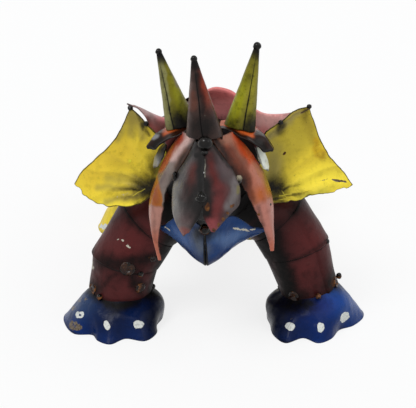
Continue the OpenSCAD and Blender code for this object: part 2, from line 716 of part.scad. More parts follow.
// Corners of the jaw, which lie against the cheek plates
jaw_left_corner_share = [1.10, 0.755, 0.60];
jaw_right_corner_share = [1.19, 0.718, 0.60];
// Front and chin of the jaw, placed so that its corners lie against the cheek plates
jaw_corner = [0, cheek_corner.y + jaw_depth_share * cheek_d - jaw_left_corner_share.y * jaw_d,
              cheek_corner.z + jaw_height_share * cheek_h - jaw_left_corner_share.z * jaw_h];
// How far a side of the jaw swells out
jaw_swell = 4;
jaw_cell_counts = [10, 6];

module jaw_half(side, corner_share) {
    seam = side * seam_gap / 2;
    size = [side * jaw_size.x, jaw_size.y, jaw_size.z];
    corner = [seam + side * plate_t / 2, jaw_corner.y, jaw_corner.z];
    fold = spread_out(jaw_fold_shares, size, corner);
    rim = spread_out(concat(jaw_rim_shares, [corner_share]), size, corner);
    back = spread_out(concat(jaw_back_shares, [corner_share]), size, corner);
    low = side > 0 ? fold : rim;
    high = side > 0 ? rim : fold;
    far = side > 0 ? back : [for (i = [len(back) - 1 : -1 : 0]) back[i]];
    on_head() skin(patch(low, high, [low[0], high[0]], far, jaw_cell_counts,
                         unit([side, -0.6, -0.8]) * jaw_swell, 0), plate_t);
}
module jaw_left() { color(blue) jaw_half(-1, jaw_left_corner_share); }
module jaw_right() { color(blue) jaw_half(1, jaw_right_corner_share); }

// Brows and eyes

// Front and back edges of a brow plate as shares of its length, from inside to outside
brow_front_shares = [0.30, 0.42, 0.50, 0.50, 0.44, 0.30];
brow_back_shares = [0.30, 0.40, 0.42, 0.36, 0.22, -0.10];
// Angles of a brow plate's inner and outer ends round its roll
brow_start_angle = 94;
brow_end_angle = 42;
brow_cell_counts = [12, 5];

// Middle of the roll of the right brow plate
brow_middle = [brow_out, brow_behind - skull_front, skull_top + brow_rise - brow_r];
function brow_point(side, turn, y, r) =
    [side * (brow_middle.x + r * cos(turn)), brow_middle.y + y, brow_middle.z + r * sin(turn)];

module brow(side) {
    grid = [for (j = [0 : brow_cell_counts.y]) let (v = j / brow_cell_counts.y)
        [for (i = [0 : brow_cell_counts.x])
            let (u = i / brow_cell_counts.x,
                 t = side > 0 ? u : 1 - u,
                 turn = mixed(brow_start_angle, brow_end_angle, t),
                 front = -brow_len * along(brow_front_shares, t),
                 back = brow_len * along(brow_back_shares, t))
            brow_point(side, turn, front + (back - front) * v, brow_r - plate_t / 2)]];
    on_head() skin(grid, plate_t);
}
module brow_left() { color(orange) brow(-1); }
module brow_right() { color(orange) brow(1); }

// Direction in which the right eye looks
eye_look = unit([0.82, -0.26, 0.5]);
// Depth to which an eye disc is dished
eye_dish = 2.2;

module eye(side) {
    dish_r = (eye_r * eye_r + eye_dish * eye_dish) / (2 * eye_dish);
    seat = spread_out([eye_seat_share], cheek_size, cheek_corner)[0];
    middle = spread_out([eye_away_share], [eye_r, eye_r, eye_r], seat)[0];
    on_head() translate([side * middle.x, middle.y, middle.z])
        pointing([side * eye_look.x, eye_look.y, eye_look.z]) {
            cylinder(h = plate_t, r = eye_r);
            intersection() {
                translate([0, 0, plate_t / 2 + eye_dish - dish_r]) sphere(r = dish_r);
                translate([0, 0, plate_t / 2]) cylinder(h = dish_r, r = eye_r);
            }
        }
}
module eye_left() { color(pale) eye(-1); }
module eye_right() { color(pale) eye(1); }

// Horns

// Cone rolled from one sheet, its edges nearly meeting at the front, closed by a weld at its tip
module horn(length, foot_r, slit_at, ball_r) {
    rotate([0, 0, slit_at + horn_slit_angle / 2]) rotate_extrude(angle = 360 - horn_slit_angle)
        polygon([[foot_r - tube_t, -foot_r], [foot_r, -foot_r], [foot_r, 0], [horn_tip_r, length],
                 [horn_tip_r - tube_t, length], [foot_r - tube_t, 0]]);
    translate([0, 0, length]) sphere(r = ball_r);
}
nose_horn_foot = [-nose_horn_out, -skull_front - nose_horn_ahead, skull_top + 4 * plate_t];
// Sides of the horns on which their slits lie
nose_slit_angle = -90;
left_slit_angle = -115;
right_slit_angle = -75;
// Radii of the weld beads on the tips
nose_tip_r = horn_tip_r + 4 / 5 * plate_t;
left_tip_r = horn_tip_r + plate_t / 2;
right_tip_r = horn_tip_r + plate_t;

module nose_horn() {
    color(orange) on_head() difference() {
        translate(nose_horn_foot) rotate([nose_horn_lean, -nose_horn_tilt, 0])
            horn(nose_horn_len, nose_horn_r, nose_slit_angle, nose_tip_r);
        solid_cone(station_point(0), station_point(1), skull_front_r, skull_back_r,
                   skull_front_r, fit_gap);
    }
}
module brow_horn(side, length, spread, ball_r, slit_at) {
    angle = acos((brow_horn_out - brow_out) / brow_r);
    foot = brow_point(side, angle, 0, brow_r);
    on_head() difference() {
        translate(foot) rotate([brow_horn_lean, side * spread, 0])
            horn(length, brow_horn_r, slit_at, ball_r);
        translate([side * brow_middle.x, brow_middle.y - brow_len, brow_middle.z])
            rotate([-90, 0, 0]) cylinder(h = 2 * brow_len, r = brow_r + fit_gap);
    }
}
module brow_horn_left() {
    color(lime) brow_horn(-1, left_brow_horn_len, left_brow_horn_spread_angle, left_tip_r,
                          left_slit_angle);
}
module brow_horn_right() {
    color(lime) brow_horn(1, right_brow_horn_len, right_brow_horn_spread_angle, right_tip_r,
                          right_slit_angle);
}

// Frill

// Edges of the frill plates as shares of width, depth and height. Sideways shares run outwards.
frill_left_low_shares = [[0.17, 0.03, 0.18], [0.34, 0.20, 0.06], [0.50, 0.36, 0.03],
    [0.64, 0.54, 0], [0.83, 0.75, 0.04], [1.00, 0.93, 0.18]];
frill_left_high_shares = [[0.15, 0.01, 0.81], [0.22, 0.10, 0.87], [0.29, 0.17, 0.93],
    [0.38, 0.28, 1.00]];
frill_left_near_shares = [[0.17, 0.03, 0.18], [0.03, 0.12, 0.32], [0, 0.16, 0.48],
    [0.04, 0.12, 0.65], [0.15, 0.01, 0.81]];
frill_left_far_shares = [[1.00, 0.93, 0.18], [0.90, 0.80, 0.33], [0.72, 0.62, 0.50],
    [0.55, 0.45, 0.68], [0.44, 0.33, 0.87], [0.38, 0.28, 1.00]];
frill_right_low_shares = [[0.15, 0, 0.11], [0.36, 0.24, 0.09], [0.50, 0.38, 0.10],
    [0.62, 0.52, 0.12], [0.83, 0.75, 0.13], [1.00, 0.93, 0.18]];
frill_right_high_shares = [[0.08, -0.04, 0.80], [0.22, 0.08, 0.88], [0.36, 0.24, 0.97],
    [0.51, 0.40, 1.00]];
frill_right_near_shares = [[0.15, 0, 0.11], [0.03, 0.12, 0.30], [0, 0.16, 0.48],
    [0.01, 0.12, 0.65], [0.08, -0.04, 0.80]];
frill_right_far_shares = [[1.00, 0.93, 0.18], [0.90, 0.82, 0.32], [0.74, 0.66, 0.50],
    [0.63, 0.54, 0.68], [0.57, 0.47, 0.84], [0.51, 0.40, 1.00]];
// How far a frill plate swells back
frill_swell = 5;
frill_size = [frill_w, frill_d, frill_h];
// Lower, inner and front corner of the right frill plate's size, set by the end of the crown
frill_corner = [skull_back_r,
                -neck_back - crown_forward_share * crown_d - frill_forward_share * frill_d,
                neck_back_height + crown_up_share * crown_h - frill_h];
frill_cell_counts = [9, 11];

module frill_plate(low_shares, high_shares, near_shares, far_shares, side) {
    size = [side * frill_size.x, frill_size.y, frill_size.z];
    corner = [side * frill_corner.x, frill_corner.y, frill_corner.z];
    low = spread_out(low_shares, size, corner);
    high = spread_out(high_shares, size, corner);
    near = spread_out(near_shares, size, corner);
    far = spread_out(far_shares, size, corner);
    flip = function (list) [for (i = [len(list) - 1 : -1 : 0]) list[i]];
    stand() skin(side > 0 ? patch(low, high, near, far, frill_cell_counts, [0, frill_swell, 0])
                 : patch(flip(low), flip(high), far, near, frill_cell_counts, [0, frill_swell, 0]),
                 plate_t);
}
module frill_left() {
    color(yellow) frill_plate(frill_left_low_shares, frill_left_high_shares,
                              frill_left_near_shares, frill_left_far_shares, -1);
}
module frill_right() {
    color(yellow) frill_plate(frill_right_low_shares, frill_right_high_shares,
                              frill_right_near_shares, frill_right_far_shares, 1);
}

// Top edge of the crown from left to right, and its sides from the neck up.
// Depth shares run forwards from the neck's joint, height shares up from its middle.
crown_top_shares = [[-0.945, -0.69, 0.95], [-0.82, -0.53, 0.88], [-0.61, -0.27, 0.73],
    [-0.50, -0.16, 0.70], [-0.31, 0.07, 0.74], [-0.18, 0.18, 0.88], [0.01, 0.26, 0.98],
    [0.20, 0.24, 0.94], [0.33, 0.14, 0.86], [0.47, 0.02, 0.76], [0.58, -0.09, 0.72],
    [0.71, -0.27, 0.75], [0.88, -0.49, 0.81], [1.05, -0.69, 0.89]];
crown_left_shares = [[-0.66, -0.40, 0.38], [-0.76, -0.72, 0.74]];
crown_right_shares = [[0.66, -0.40, 0.38], [0.84, -0.62, 0.74]];
// Angle round the neck at which each side of the crown begins
crown_start_angle = 100;
crown_cell_counts = [26, 5];

// Point on the neck at its joint with the chest, at an angle from its top
function neck_ring(turn, grow) =
    let (way = seam_way(2), up = [0, -way.z, way.y])
    station_point(2) + (neck_back_r + grow) * (sin(turn) * [1, 0, 0] + cos(turn) * up);

module frill_crown() {
    size = [frill_corner.x + crown_reach_share * frill_w, crown_d, crown_h];
    corner = station_point(2);
    low = [for (k = [-3 : 3]) neck_ring(k * crown_start_angle / 3, 2 * fit_gap + plate_t)];
    high = spread_out(crown_top_shares, size, corner);
    near = concat([low[0]], spread_out(crown_left_shares, size, corner), [high[0]]);
    far = concat([low[len(low) - 1]], spread_out(crown_right_shares, size, corner),
                 [high[len(high) - 1]]);
    color(rose) stand() skin(patch(low, high, near, far, crown_cell_counts, [0, 0, 0]), plate_t);
}

// Weld beads

module bead(r) { color(soot) sphere(r = r); }

// Radii of the large ball under the nose horn, of the balls on beak and jaw, and of a tack
nose_ball_r = 5;
beak_ball_r = 4;
tack_r = 2.6;

module horn_welds() {
    on_head() {
        translate(spread_out([[-0.02, -0.20, 1.02]], beak_size, beak_corner)[0]) bead(nose_ball_r);
    }
}
module face_welds() {
    on_head() {
        for (s = [[-0.01, -0.92, 0.52, beak_ball_r], [-0.04, -0.50, 0.86, tack_r],
                  [-0.97, -0.02, 0.56, tack_r], [0.98, 0, 0.55, tack_r]])
            translate(spread_out([s], beak_size, beak_corner)[0]) bead(s[3]);
    }
}
module jaw_welds() {
    on_head() translate(spread_out([[0, 0, 0.97]], jaw_size, jaw_corner)[0]) bead(beak_ball_r);
}
module frill_welds() {
    stand() {
        for (s = concat([frill_right_high_shares[1]], [frill_right_high_shares[3]],
                        [frill_right_near_shares[2]]))
            translate(spread_out([s], frill_size, frill_corner)[0]) bead(tack_r);
        for (s = concat([frill_left_high_shares[1]], [frill_left_high_shares[3]],
                        [frill_left_near_shares[2]]))
            mirror([1, 0, 0]) translate(spread_out([s], frill_size, frill_corner)[0])
                bead(tack_r);
    }
}
// Angles at which tacks lie round an ankle, a knee and a seam of the body
ankle_tack_angles = [20, 160, 250];
knee_tack_angles = [60, 200];
body_tack_angles = [30, 100, 190, 280];

// Tacks round a joint
module joint_beads(point, way, r, turns) {
    stand() translate(point) pointing(way)
        for (turn = turns) rotate([0, 0, turn]) translate([r, 0, 0]) bead(tack_r);
}
module ankle_beads(leg, slope, ankle_r) {
    joint_beads(leg[3], ankle_way(slope), ankle_r + tube_t, ankle_tack_angles);
}
module front_leg_welds() {
    ankle_beads(front_left, -left_ankle_slope, left_ankle_r);
    ankle_beads(front_right, right_ankle_slope, right_ankle_r);
    joint_beads(front_left[2], knee_way(-left_knee_slope), leg_r, knee_tack_angles);
    joint_beads(front_right[2], knee_way(right_knee_slope), leg_r, knee_tack_angles);
}
module hind_leg_welds() {
    ankle_beads(hind_left, -hind_ankle_slope, hind_ankle_r);
    ankle_beads(hind_right, hind_ankle_slope, hind_ankle_r);
}
module body_welds() {
    for (i = [2 : 7])
        joint_beads(station_point(i), seam_way(i), stations[i].z, body_tack_angles);
    stand() translate(station_point(9)) bead(tail_tip_r + tube_t / 2);
}

skull();
neck_band();
chest_band();
shoulder_band();
barrel_band();
loin_band();
tail_root();
tail_middle();
tail_tip();
beak_left();
beak_right();
cheek_left();
cheek_right();
jaw_left();
jaw_right();
brow_left();
brow_right();
eye_left();
eye_right();
nose_horn();
brow_horn_left();
brow_horn_right();
frill_left();
frill_right();
frill_crown();
front_shoulder_left();
front_thigh_left();
front_shin_left();
front_foot_left();
front_shoulder_right();
front_thigh_right();
front_shin_right();
front_foot_right();
hind_hip_left();
hind_thigh_left();
hind_shin_left();
hind_foot_left();
hind_hip_right();
hind_thigh_right();
hind_shin_right();
hind_foot_right();
horn_welds();
face_welds();
jaw_welds();
frill_welds();
front_leg_welds();
hind_leg_welds();
body_welds();
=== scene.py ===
"""Looks of the metal triceratops: hammered and rolled sheet steel, worn paint, soot and weld metal.

All shapes are worked out in millimetres, on the same sizes as the CAD model, and written in metres.
"""
import math

import bpy
import numpy as np
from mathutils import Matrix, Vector


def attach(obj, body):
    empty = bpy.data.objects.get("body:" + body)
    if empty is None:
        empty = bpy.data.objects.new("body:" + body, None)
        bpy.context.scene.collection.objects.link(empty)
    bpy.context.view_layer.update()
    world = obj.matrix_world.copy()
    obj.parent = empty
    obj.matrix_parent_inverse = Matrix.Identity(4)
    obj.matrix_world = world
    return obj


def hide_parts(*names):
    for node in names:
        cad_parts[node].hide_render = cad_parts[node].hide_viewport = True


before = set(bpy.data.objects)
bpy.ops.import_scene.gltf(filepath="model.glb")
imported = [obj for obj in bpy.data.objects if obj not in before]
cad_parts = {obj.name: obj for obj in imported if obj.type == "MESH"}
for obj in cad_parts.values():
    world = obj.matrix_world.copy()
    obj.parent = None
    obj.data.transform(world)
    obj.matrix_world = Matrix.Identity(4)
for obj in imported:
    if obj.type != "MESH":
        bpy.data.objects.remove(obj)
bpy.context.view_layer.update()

MM = 0.001
PLATE, TUBE, SEAM = 1.2, 1.4, 0.3
LEG_FORWARD = 114.0
HEAD_TURN = math.radians(4.4)
SKULL_BACK = 40.0
SWAY, RUMP_BACK = 8.0, 262.0
SIDES = ((-1, "left"), (1, "right"))

# The photograph's camera: place, downward pitch, focal length in pixels, picture size
EYE = np.array([-4.3, -939.7 - LEG_FORWARD, 452.0])
PITCH = math.radians(20)
FOCAL, WIDE, HIGH = 1160.0, 416, 408


# Numbers and noise

def vec(*v):
    return np.array(v, float)


def unit(v):
    v = np.asarray(v, float)
    return v / np.maximum(np.linalg.norm(v, axis=-1, keepdims=True), 1e-9)


def smooth(x, lo, hi):
    t = np.clip((x - lo) / (hi - lo), 0, 1)
    return t * t * (3 - 2 * t)


def lattice(i, seed):
    n = (i[..., 0] * 73856093) ^ (i[..., 1] * 19349663) ^ (i[..., 2] * 83492791) ^ (seed * 668265263)
    n = (n ^ (n >> 13)) * 1274126177
    return ((n ^ (n >> 16)) & 0xFFFF) / 32767.5 - 1


def noise(p, size, seed=0):
    """Smooth noise from -1 to 1 over points, with features of the given size."""
    q = np.asarray(p, float) / size
    i = np.floor(q).astype(np.int64)
    f = q - i
    f = f * f * (3 - 2 * f)
    out = 0
    for dx in (0, 1):
        for dy in (0, 1):
            for dz in (0, 1):
                w = ((f[..., 0] if dx else 1 - f[..., 0]) * (f[..., 1] if dy else 1 - f[..., 1])
                     * (f[..., 2] if dz else 1 - f[..., 2]))
                out = out + w * lattice(i + np.array([dx, dy, dz]), seed)
    return out


def rough(p, size, seed=0, octaves=3):
    return sum(noise(p, size / 2 ** k, seed + 31 * k) / 2 ** k for k in range(octaves))


# Curves and places

def between(a, b, c, d, f):
    """Smooth way from b to c, at share f, of a curve that also meets a and d."""
    return (b + (c - a) * f / 2 + (2 * a - 5 * b + 4 * c - d) * f * f / 2
            + (3 * b - a - 3 * c + d) * f ** 3 / 2)


def curve(points, t):
    """Points at shares t of a smooth curve through a list of points."""
    pts = np.asarray(points, float)
    s = np.asarray(t) * (len(pts) - 1)
    i = np.minimum(np.floor(s).astype(int), len(pts) - 2)
    ext = np.vstack([2 * pts[0] - pts[1], pts, 2 * pts[-1] - pts[-2]])
    return between(*(ext[i + k] for k in range(4)), (s - i)[:, None])


def ring_curve(points, t):
    """Points at shares t of a smooth closed curve."""
    pts = np.asarray(points, float)
    s = np.asarray(t) * len(pts)
    i = np.floor(s).astype(int)
    return between(*(pts[(i + k) % len(pts)] for k in (-1, 0, 1, 2)), (s - i)[:, None])


def spread(shares, size, corner):
    """Points at shares of a size, in hundredths, from a corner."""
    return np.asarray(shares, float) / 100 * size + corner


def patch(low, high, near, far, nu, nv, swell, end_share=0.4):
    """Grid that fills four edges, rows from low to high, columns from near to far."""
    u, v = np.linspace(0, 1, nu + 1), np.linspace(0, 1, nv + 1)
    lo, hi, ne, fa = curve(low, u), curve(high, u), curve(near, v), curve(far, v)
    U, V = u[None, :, None], v[:, None, None]
    return ((1 - V) * lo[None] + V * hi[None] + (1 - U) * ne[:, None] + U * fa[:, None]
            - (1 - U) * (1 - V) * low[0] - U * (1 - V) * low[-1] - (1 - U) * V * high[0]
            - U * V * high[-1]
            + swell * 4 * U * (1 - U) * (end_share + (1 - end_share) * 4 * V * (1 - V)))


def stand(p):
    return p - vec(0, LEG_FORWARD, 0)


def on_head(p):
    c, s = math.cos(HEAD_TURN), math.sin(HEAD_TURN)
    x, y = p[..., 0], p[..., 1] + SKULL_BACK
    return stand(np.stack([x * c + y * s, y * c - x * s - SKULL_BACK, p[..., 2]], -1))


def seen(p):
    """Where the photograph's camera sees points, in pixels of the photograph."""
    d = p - EYE
    c, s = math.cos(PITCH), math.sin(PITCH)
    depth = d[..., 1] * c - d[..., 2] * s
    up = d[..., 1] * s + d[..., 2] * c
    return np.stack([WIDE / 2 + FOCAL * d[..., 0] / depth, HIGH / 2 - FOCAL * up / depth], -1)


def frame_of(way):
    """Sideways directions of a tube that points along way, as in the CAD model."""
    a, b = math.acos(max(-1, min(1, way[2]))), math.atan2(way[1], way[0])
    x = vec(math.cos(b) * math.cos(a), math.sin(b) * math.cos(a), -math.sin(a))
    return x, vec(-math.sin(b), math.cos(b), 0)


def spokes(ang, way):
    """Unit vectors square to a way, one for each angle round it."""
    x, y = frame_of(way)
    return np.cos(ang)[..., None] * x + np.sin(ang)[..., None] * y


# Painting marks one by one

def lin(c):
    c = np.asarray(c, float)
    return np.where(c <= 0.04045, c / 12.92, ((c + 0.055) / 1.055) ** 2.4)


# the first layer holds soot and also painted shade
LAYERS = ("soot", "wear", "scratch", "rust", "daub")


class Coat:
    """Paint, soot and painted shade, wear, scratches, rust and daubs of one piece, laid on point by point.
    """

    def __init__(self, p, base, seed=0):
        self.p = p
        wander = [2.0 * noise(p, 11, seed + k) + noise(p, 4, seed + k + 1) for k in (1, 3)]
        self.xy = seen(p) + np.stack(wander, -1)
        self.paint = np.ones(p.shape) * lin(base)
        for layer in LAYERS:
            setattr(self, layer, np.zeros(p.shape[:-1]))

    def spot(self, x, y, edge, rx, ry=None, turn=0):
        """Soft spot round a place in the picture."""
        a = math.radians(turn)
        dx, dy = self.xy[..., 0] - x, self.xy[..., 1] - y
        u = (dx * math.cos(a) + dy * math.sin(a)) / rx
        v = (dy * math.cos(a) - dx * math.sin(a)) / (ry or rx)
        return 1 - smooth(np.hypot(u, v), 1 - edge, 1 + edge)

    def stroke(self, points, edge, width):
        """Soft stroke along a line in the picture."""
        best = np.full(self.xy.shape[:-1], 1e9)
        for (x0, y0), (x1, y1) in zip(points[:-1], points[1:]):
            d = vec(x1 - x0, y1 - y0)
            t = np.clip(((self.xy - vec(x0, y0)) @ d) / max(d @ d, 1e-9), 0, 1)
            best = np.minimum(best, np.linalg.norm(self.xy - vec(x0, y0) - t[..., None] * d, axis=-1))
        return 1 - smooth(best / width, 1 - edge, 1 + edge)

    def mark(self, what, share, mask):
        """Lays a colour, or raises a layer, by a share of a mask. A share below zero wipes a layer."""
        if what not in LAYERS:
            m = np.clip(mask * share, 0, 1)[..., None]
            self.paint = self.paint * (1 - m) + lin(what) * m
        elif share < 0:
            setattr(self, what, getattr(self, what) * (1 + mask * share))
        else:
            setattr(self, what, np.maximum(getattr(self, what), mask * share))

    def lay(self, marks, within=1.0):
        """Lays rows of what, share, size, softness and places: one place is a spot, more are a stroke."""
        for what, share, size, edge, *places in marks:
            if len(places) > 1:
                mask = self.stroke(places, edge, size)
            else:
                mask = self.spot(*places[0], edge, *np.atleast_1d(size))
            self.mark(what, share, mask * within)


# Materials

def add(tree, kind, values, **settings):
    """Adds a node. Its inputs are set to constants or linked to sockets."""
    n = tree.nodes.new("ShaderNode" + kind)
    for key, x in settings.items():
        setattr(n, key, x)
    for key, x in values.items():
        if isinstance(x, bpy.types.NodeSocket):
            tree.links.new(x, n.inputs[key])
        else:
            n.inputs[key].default_value = x
    return n


def metal_paint(name, gloss, specular, bump=0.5, mottling=0.35, speckle=0.3, pale_share=0.5):
    """Worn brush paint on steel: mottled colour, soot and painted shade, chips to bare and rusty metal,
    scratches.
    """
    m = bpy.data.materials.new(name)
    m.use_nodes = True
    t = m.node_tree
    t.nodes.clear()
    place = add(t, "TexCoord", {}).outputs["Object"]
    squash = add(t, "Mapping", {"Vector": place, "Scale": (60, 420, 420), "Rotation": (0.4, 0.7, 0.5)})
    soot, wear, scratch, rust, daub = (add(t, "Attribute", {}, attribute_name=layer).outputs["Fac"]
                                       for layer in LAYERS)
    paint = add(t, "Attribute", {}, attribute_name="paint").outputs["Color"]

    def grain(scale, detail, roughness=0.6, distortion=0.0, at=place):
        return add(t, "TexNoise", {"Vector": at, "Scale": scale, "Detail": detail, "Roughness": roughness,
                                   "Distortion": distortion}).outputs["Fac"]

    def calc(op, a, b, clamp=False):
        return add(t, "Math", {0: a, 1: b}, operation=op, use_clamp=clamp).outputs[0]

    def times(a, b):
        return calc("MULTIPLY", a, b)

    def total(first, *more):
        for x in more:
            first = calc("ADD", first, x)
        return first

    def swing(x, share):
        return times(calc("SUBTRACT", x, 0.5), share)

    def step(x, lo, hi):
        return add(t, "MapRange", {"Value": x, "From Min": lo, "From Max": hi},
                   interpolation_type="SMOOTHSTEP").outputs[0]

    def mix(fac, a, b, how="MIX"):
        a, b = ((*lin(x), 1) if isinstance(x, tuple) else x for x in (a, b))
        return add(t, "Mix", {0: fac, 6: a, 7: b}, data_type="RGBA", blend_type=how).outputs[2]

    big, mid, fine = grain(38, 3), grain(150, 6), grain(620, 5, 0.7)
    streaky = grain(1, 5, 0.65, 0.6, squash.outputs[0])
    # mottled paint: darker and lighter brush marks, then fine dark specks
    dark = mix(0.55, paint, (0.16, 0.13, 0.12), "MULTIPLY")
    pale = mix(0.16, paint, (0.9, 0.86, 0.8), "SCREEN")
    colour = mix(times(step(mid, 0.48, 0.72), mottling), paint, dark)
    colour = mix(times(step(streaky, 0.52, 0.78), mottling * pale_share), colour, pale)
    colour = mix(times(step(fine, 0.60, 0.70), speckle), colour, (0.15, 0.11, 0.08))
    # scratches down to pale primer and steel
    colour = mix(step(total(scratch, swing(fine, 1.5)), 0.48, 0.62), colour, (0.70, 0.68, 0.62))
    # soot from the torch, and painted shade laid in the same layer
    soot_shade_share = step(total(swing(mid, 0.45), swing(fine, 0.30), soot), 0.02, 1.0)
    colour = mix(soot_shade_share, colour, (0.021, 0.014, 0.013))
    # rust
    rusty = step(total(rust, swing(fine, 0.9)), 0.35, 0.75)
    colour = mix(rusty, colour, mix(step(mid, 0.4, 0.6), (0.23, 0.12, 0.06), (0.42, 0.26, 0.12)))
    # daubs of thick white paint with a ragged edge
    daubed = step(total(daub, swing(mid, 0.9)), 0.46, 0.54)
    colour = mix(daubed, colour, mix(step(fine, 0.45, 0.7), (0.80, 0.81, 0.79), (0.62, 0.63, 0.62)))
    # chips down to dull metal
    chipped = step(total(swing(mid, 1.6), swing(fine, 0.5), wear), 0.62, 0.70)
    colour = mix(chipped, colour, mix(step(fine, 0.42, 0.6), (0.30, 0.25, 0.20), (0.46, 0.42, 0.36)))

    shine = total(gloss, swing(mid, 0.30), times(soot_shade_share, 0.16))
    shine = calc("ADD", shine, times(rusty, 0.30), clamp=True)
    height = total(times(big, 1.6), times(mid, 0.35), times(fine, 0.05), times(chipped, -0.10),
                   times(times(rusty, fine), 0.5), times(daubed, 0.25))
    relief = add(t, "Bump", {"Strength": bump, "Distance": 0.0016, "Height": height})
    steel = add(t, "BsdfPrincipled", {"Base Color": colour, "Metallic": times(chipped, 0.55),
                                      "Roughness": shine, "Specular IOR Level": specular,
                                      "Normal": relief.outputs[0]})
    add(t, "OutputMaterial", {0: steel.outputs[0]})
    return m


COATS = {
    "maroon_sheet": metal_paint("maroon_paint", 0.40, 0.10, mottling=0.5, pale_share=0.08),
    "rose_sheet": metal_paint("rose_paint", 0.34, 0.16, pale_share=0.15),
    "gunmetal_sheet": metal_paint("grey_paint", 0.28, 0.2, pale_share=0.2),
    "sooty_sheet": metal_paint("sooty_shaded_paint", 0.65, 0.04, pale_share=0.0),
    "orange_sheet": metal_paint("orange_paint", 0.30, 0.16, pale_share=0.15),
    "salmon_sheet": metal_paint("salmon_paint", 0.30, 0.16, pale_share=0.15),
    "yellow_sheet": metal_paint("yellow_paint", 0.40, 0.12, mottling=0.34, speckle=0.45, pale_share=0.2),
    "lime_sheet": metal_paint("lime_paint", 0.36, 0.14, mottling=0.8, speckle=0.9, pale_share=0.1),
    "blue_sheet": metal_paint("blue_paint", 0.30, 0.10, pale_share=0.1),
    "pale_disc": metal_paint("pale_paint", 0.26, 0.2),
    "weld_steel": metal_paint("weld_metal", 0.11, 0.2, bump=0.4, mottling=0.2, speckle=0.2, pale_share=0.1),
}


# Meshes

SHARP = math.radians(50)
RIM_BULGE = 0.42


def grid_ways(grid, loop):
    if loop:
        du = np.roll(grid, -1, 1) - np.roll(grid, 1, 1)
    else:
        du = np.gradient(grid, axis=1)
    dv = np.gradient(grid, axis=0)
    return unit(du), unit(dv), unit(np.cross(du, dv))


def sheet_mesh(grid, wall, loop=False):
    """Points, faces and the grid index of each point, for a sheet with a rounded rim."""
    rows, cols = grid.shape[:2]
    du, dv, nrm = grid_ways(grid, loop)
    n = rows * cols
    idx = np.arange(n).reshape(rows, cols)
    points = [(grid + nrm * wall / 2).reshape(-1, 3), (grid - nrm * wall / 2).reshape(-1, 3)]
    source = [idx.ravel(), idx.ravel()]
    right = np.roll(idx, -1, 1) if loop else idx[:, 1:]
    left = idx if loop else idx[:, :-1]
    quads = np.stack([left[:-1], right[:-1], right[1:], left[1:]], -1).reshape(-1, 4)
    faces = [quads, quads[:, ::-1] + n]

    def rim(ring, out):
        base = sum(len(p) for p in points)
        points.append(grid.reshape(-1, 3)[ring] + out * wall * RIM_BULGE)
        source.append(ring)
        k = np.arange(len(ring))
        nxt = (k + 1) % len(ring)
        faces.append(np.stack([ring[k], base + k, base + nxt, ring[nxt]], -1))
        faces.append(np.stack([base + k, n + ring[k], n + ring[nxt], base + nxt], -1))

    if loop:
        rim(idx[0], -dv[0])
        rim(idx[-1, ::-1], dv[-1, ::-1])
    else:
        ring = np.concatenate([idx[0, :-1], idx[:-1, -1], idx[-1, :0:-1], idx[:0:-1, 0]])
        r, c = ring // cols, ring % cols
        rim(ring, unit(dv[r, c] * (1 * (r == rows - 1) - (r == 0))[:, None]
                       + du[r, c] * (1 * (c == cols - 1) - (c == 0))[:, None]))
    return np.vstack(points), np.vstack(faces), np.concatenate(source)


def build(name, parts, nodes, slot):
    """One object from (coat, points, face arrays, source) parts, the source being places in the coat."""
    points, faces, looks = [], [], {k: [] for k in ("paint",) + LAYERS}
    for coat, part_points, part_faces, source in parts:
        base = sum(len(p) for p in points)
        points.append(part_points)
        faces += [face for array in part_faces for face in (array + base).tolist()]
        looks["paint"].append(coat.paint.reshape(-1, 3)[source])
        for layer in LAYERS:
            looks[layer].append(getattr(coat, layer).ravel()[source])
    mesh = bpy.data.meshes.new(name)
    mesh.from_pydata((np.vstack(points) * MM).tolist(), [], faces)
    mesh.validate()
    paint = np.vstack(looks["paint"])
    rgba = np.hstack([paint, np.ones((len(paint), 1))]).astype(np.float32)
    mesh.attributes.new("paint", "FLOAT_COLOR", "POINT").data.foreach_set("color", rgba.ravel())
    for layer in LAYERS:
        values = np.concatenate(looks[layer]).astype(np.float32)
        mesh.attributes.new(layer, "FLOAT", "POINT").data.foreach_set("value", values)
    mesh.polygons.foreach_set("use_smooth", [True] * len(mesh.polygons))
    mesh.materials.append(COATS[slot])
    ob = bpy.data.objects.new(name, mesh)
    bpy.context.scene.collection.objects.link(ob)
    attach(ob, "root")
    if nodes:
        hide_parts(*nodes)
    return mesh


def build_sheet(name, coat, node, slot, wall=PLATE, loop=False, bare=0.0):
    """A sheet along the grid of its coat, with a dark line of bare edge round it when bare is given."""
    if bare:
        edge = np.full(coat.soot.shape, bare)
        edge[1:-1, 1:-1] = 0
        coat.mark("soot", 1, edge)
    points, faces, source = sheet_mesh(coat.p, wall, loop)
    build(name, [(coat, points, [faces], source)], [node], slot).set_sharp_from_angle(angle=SHARP)


def dent(grid, loop, amount, size, seed):
    """Hammer marks: pushes the grid along its own normals, but not at its rim."""
    _, _, nrm = grid_ways(grid, loop)
    r, c = np.linspace(0, 1, grid.shape[0])[:, None], np.linspace(0, 1, grid.shape[1])[None]
    edge = smooth(np.minimum(r, 1 - r), 0, 0.08)
    if not loop:
        edge = edge * smooth(np.minimum(c, 1 - c), 0, 0.08)
    return grid + nrm * (amount * rough(grid, size, seed, 2) * edge)[..., None]


def ragged(grid, amount, seed, low, high, first=0.0, last=0.0):
    """Uneven cut edges: shifts the rim of a grid within its own surface."""
    du, dv, _ = grid_ways(grid, False)
    v, u = np.linspace(0, 1, grid.shape[0])[:, None], np.linspace(0, 1, grid.shape[1])[None]
    push = amount * (0.6 * noise(grid, 9, seed) + 0.5 * noise(grid, 4, seed + 1)
                     - 0.9 * smooth(noise(grid, 6, seed + 2), 0.35, 0.7))
    for way, share, far in ((-dv, low, v), (dv, high, 1 - v), (-du, first, u), (du, last, 1 - u)):
        grid = grid + way * (push * share * (1 - smooth(far, 0, 0.10)))[..., None]
    return grid


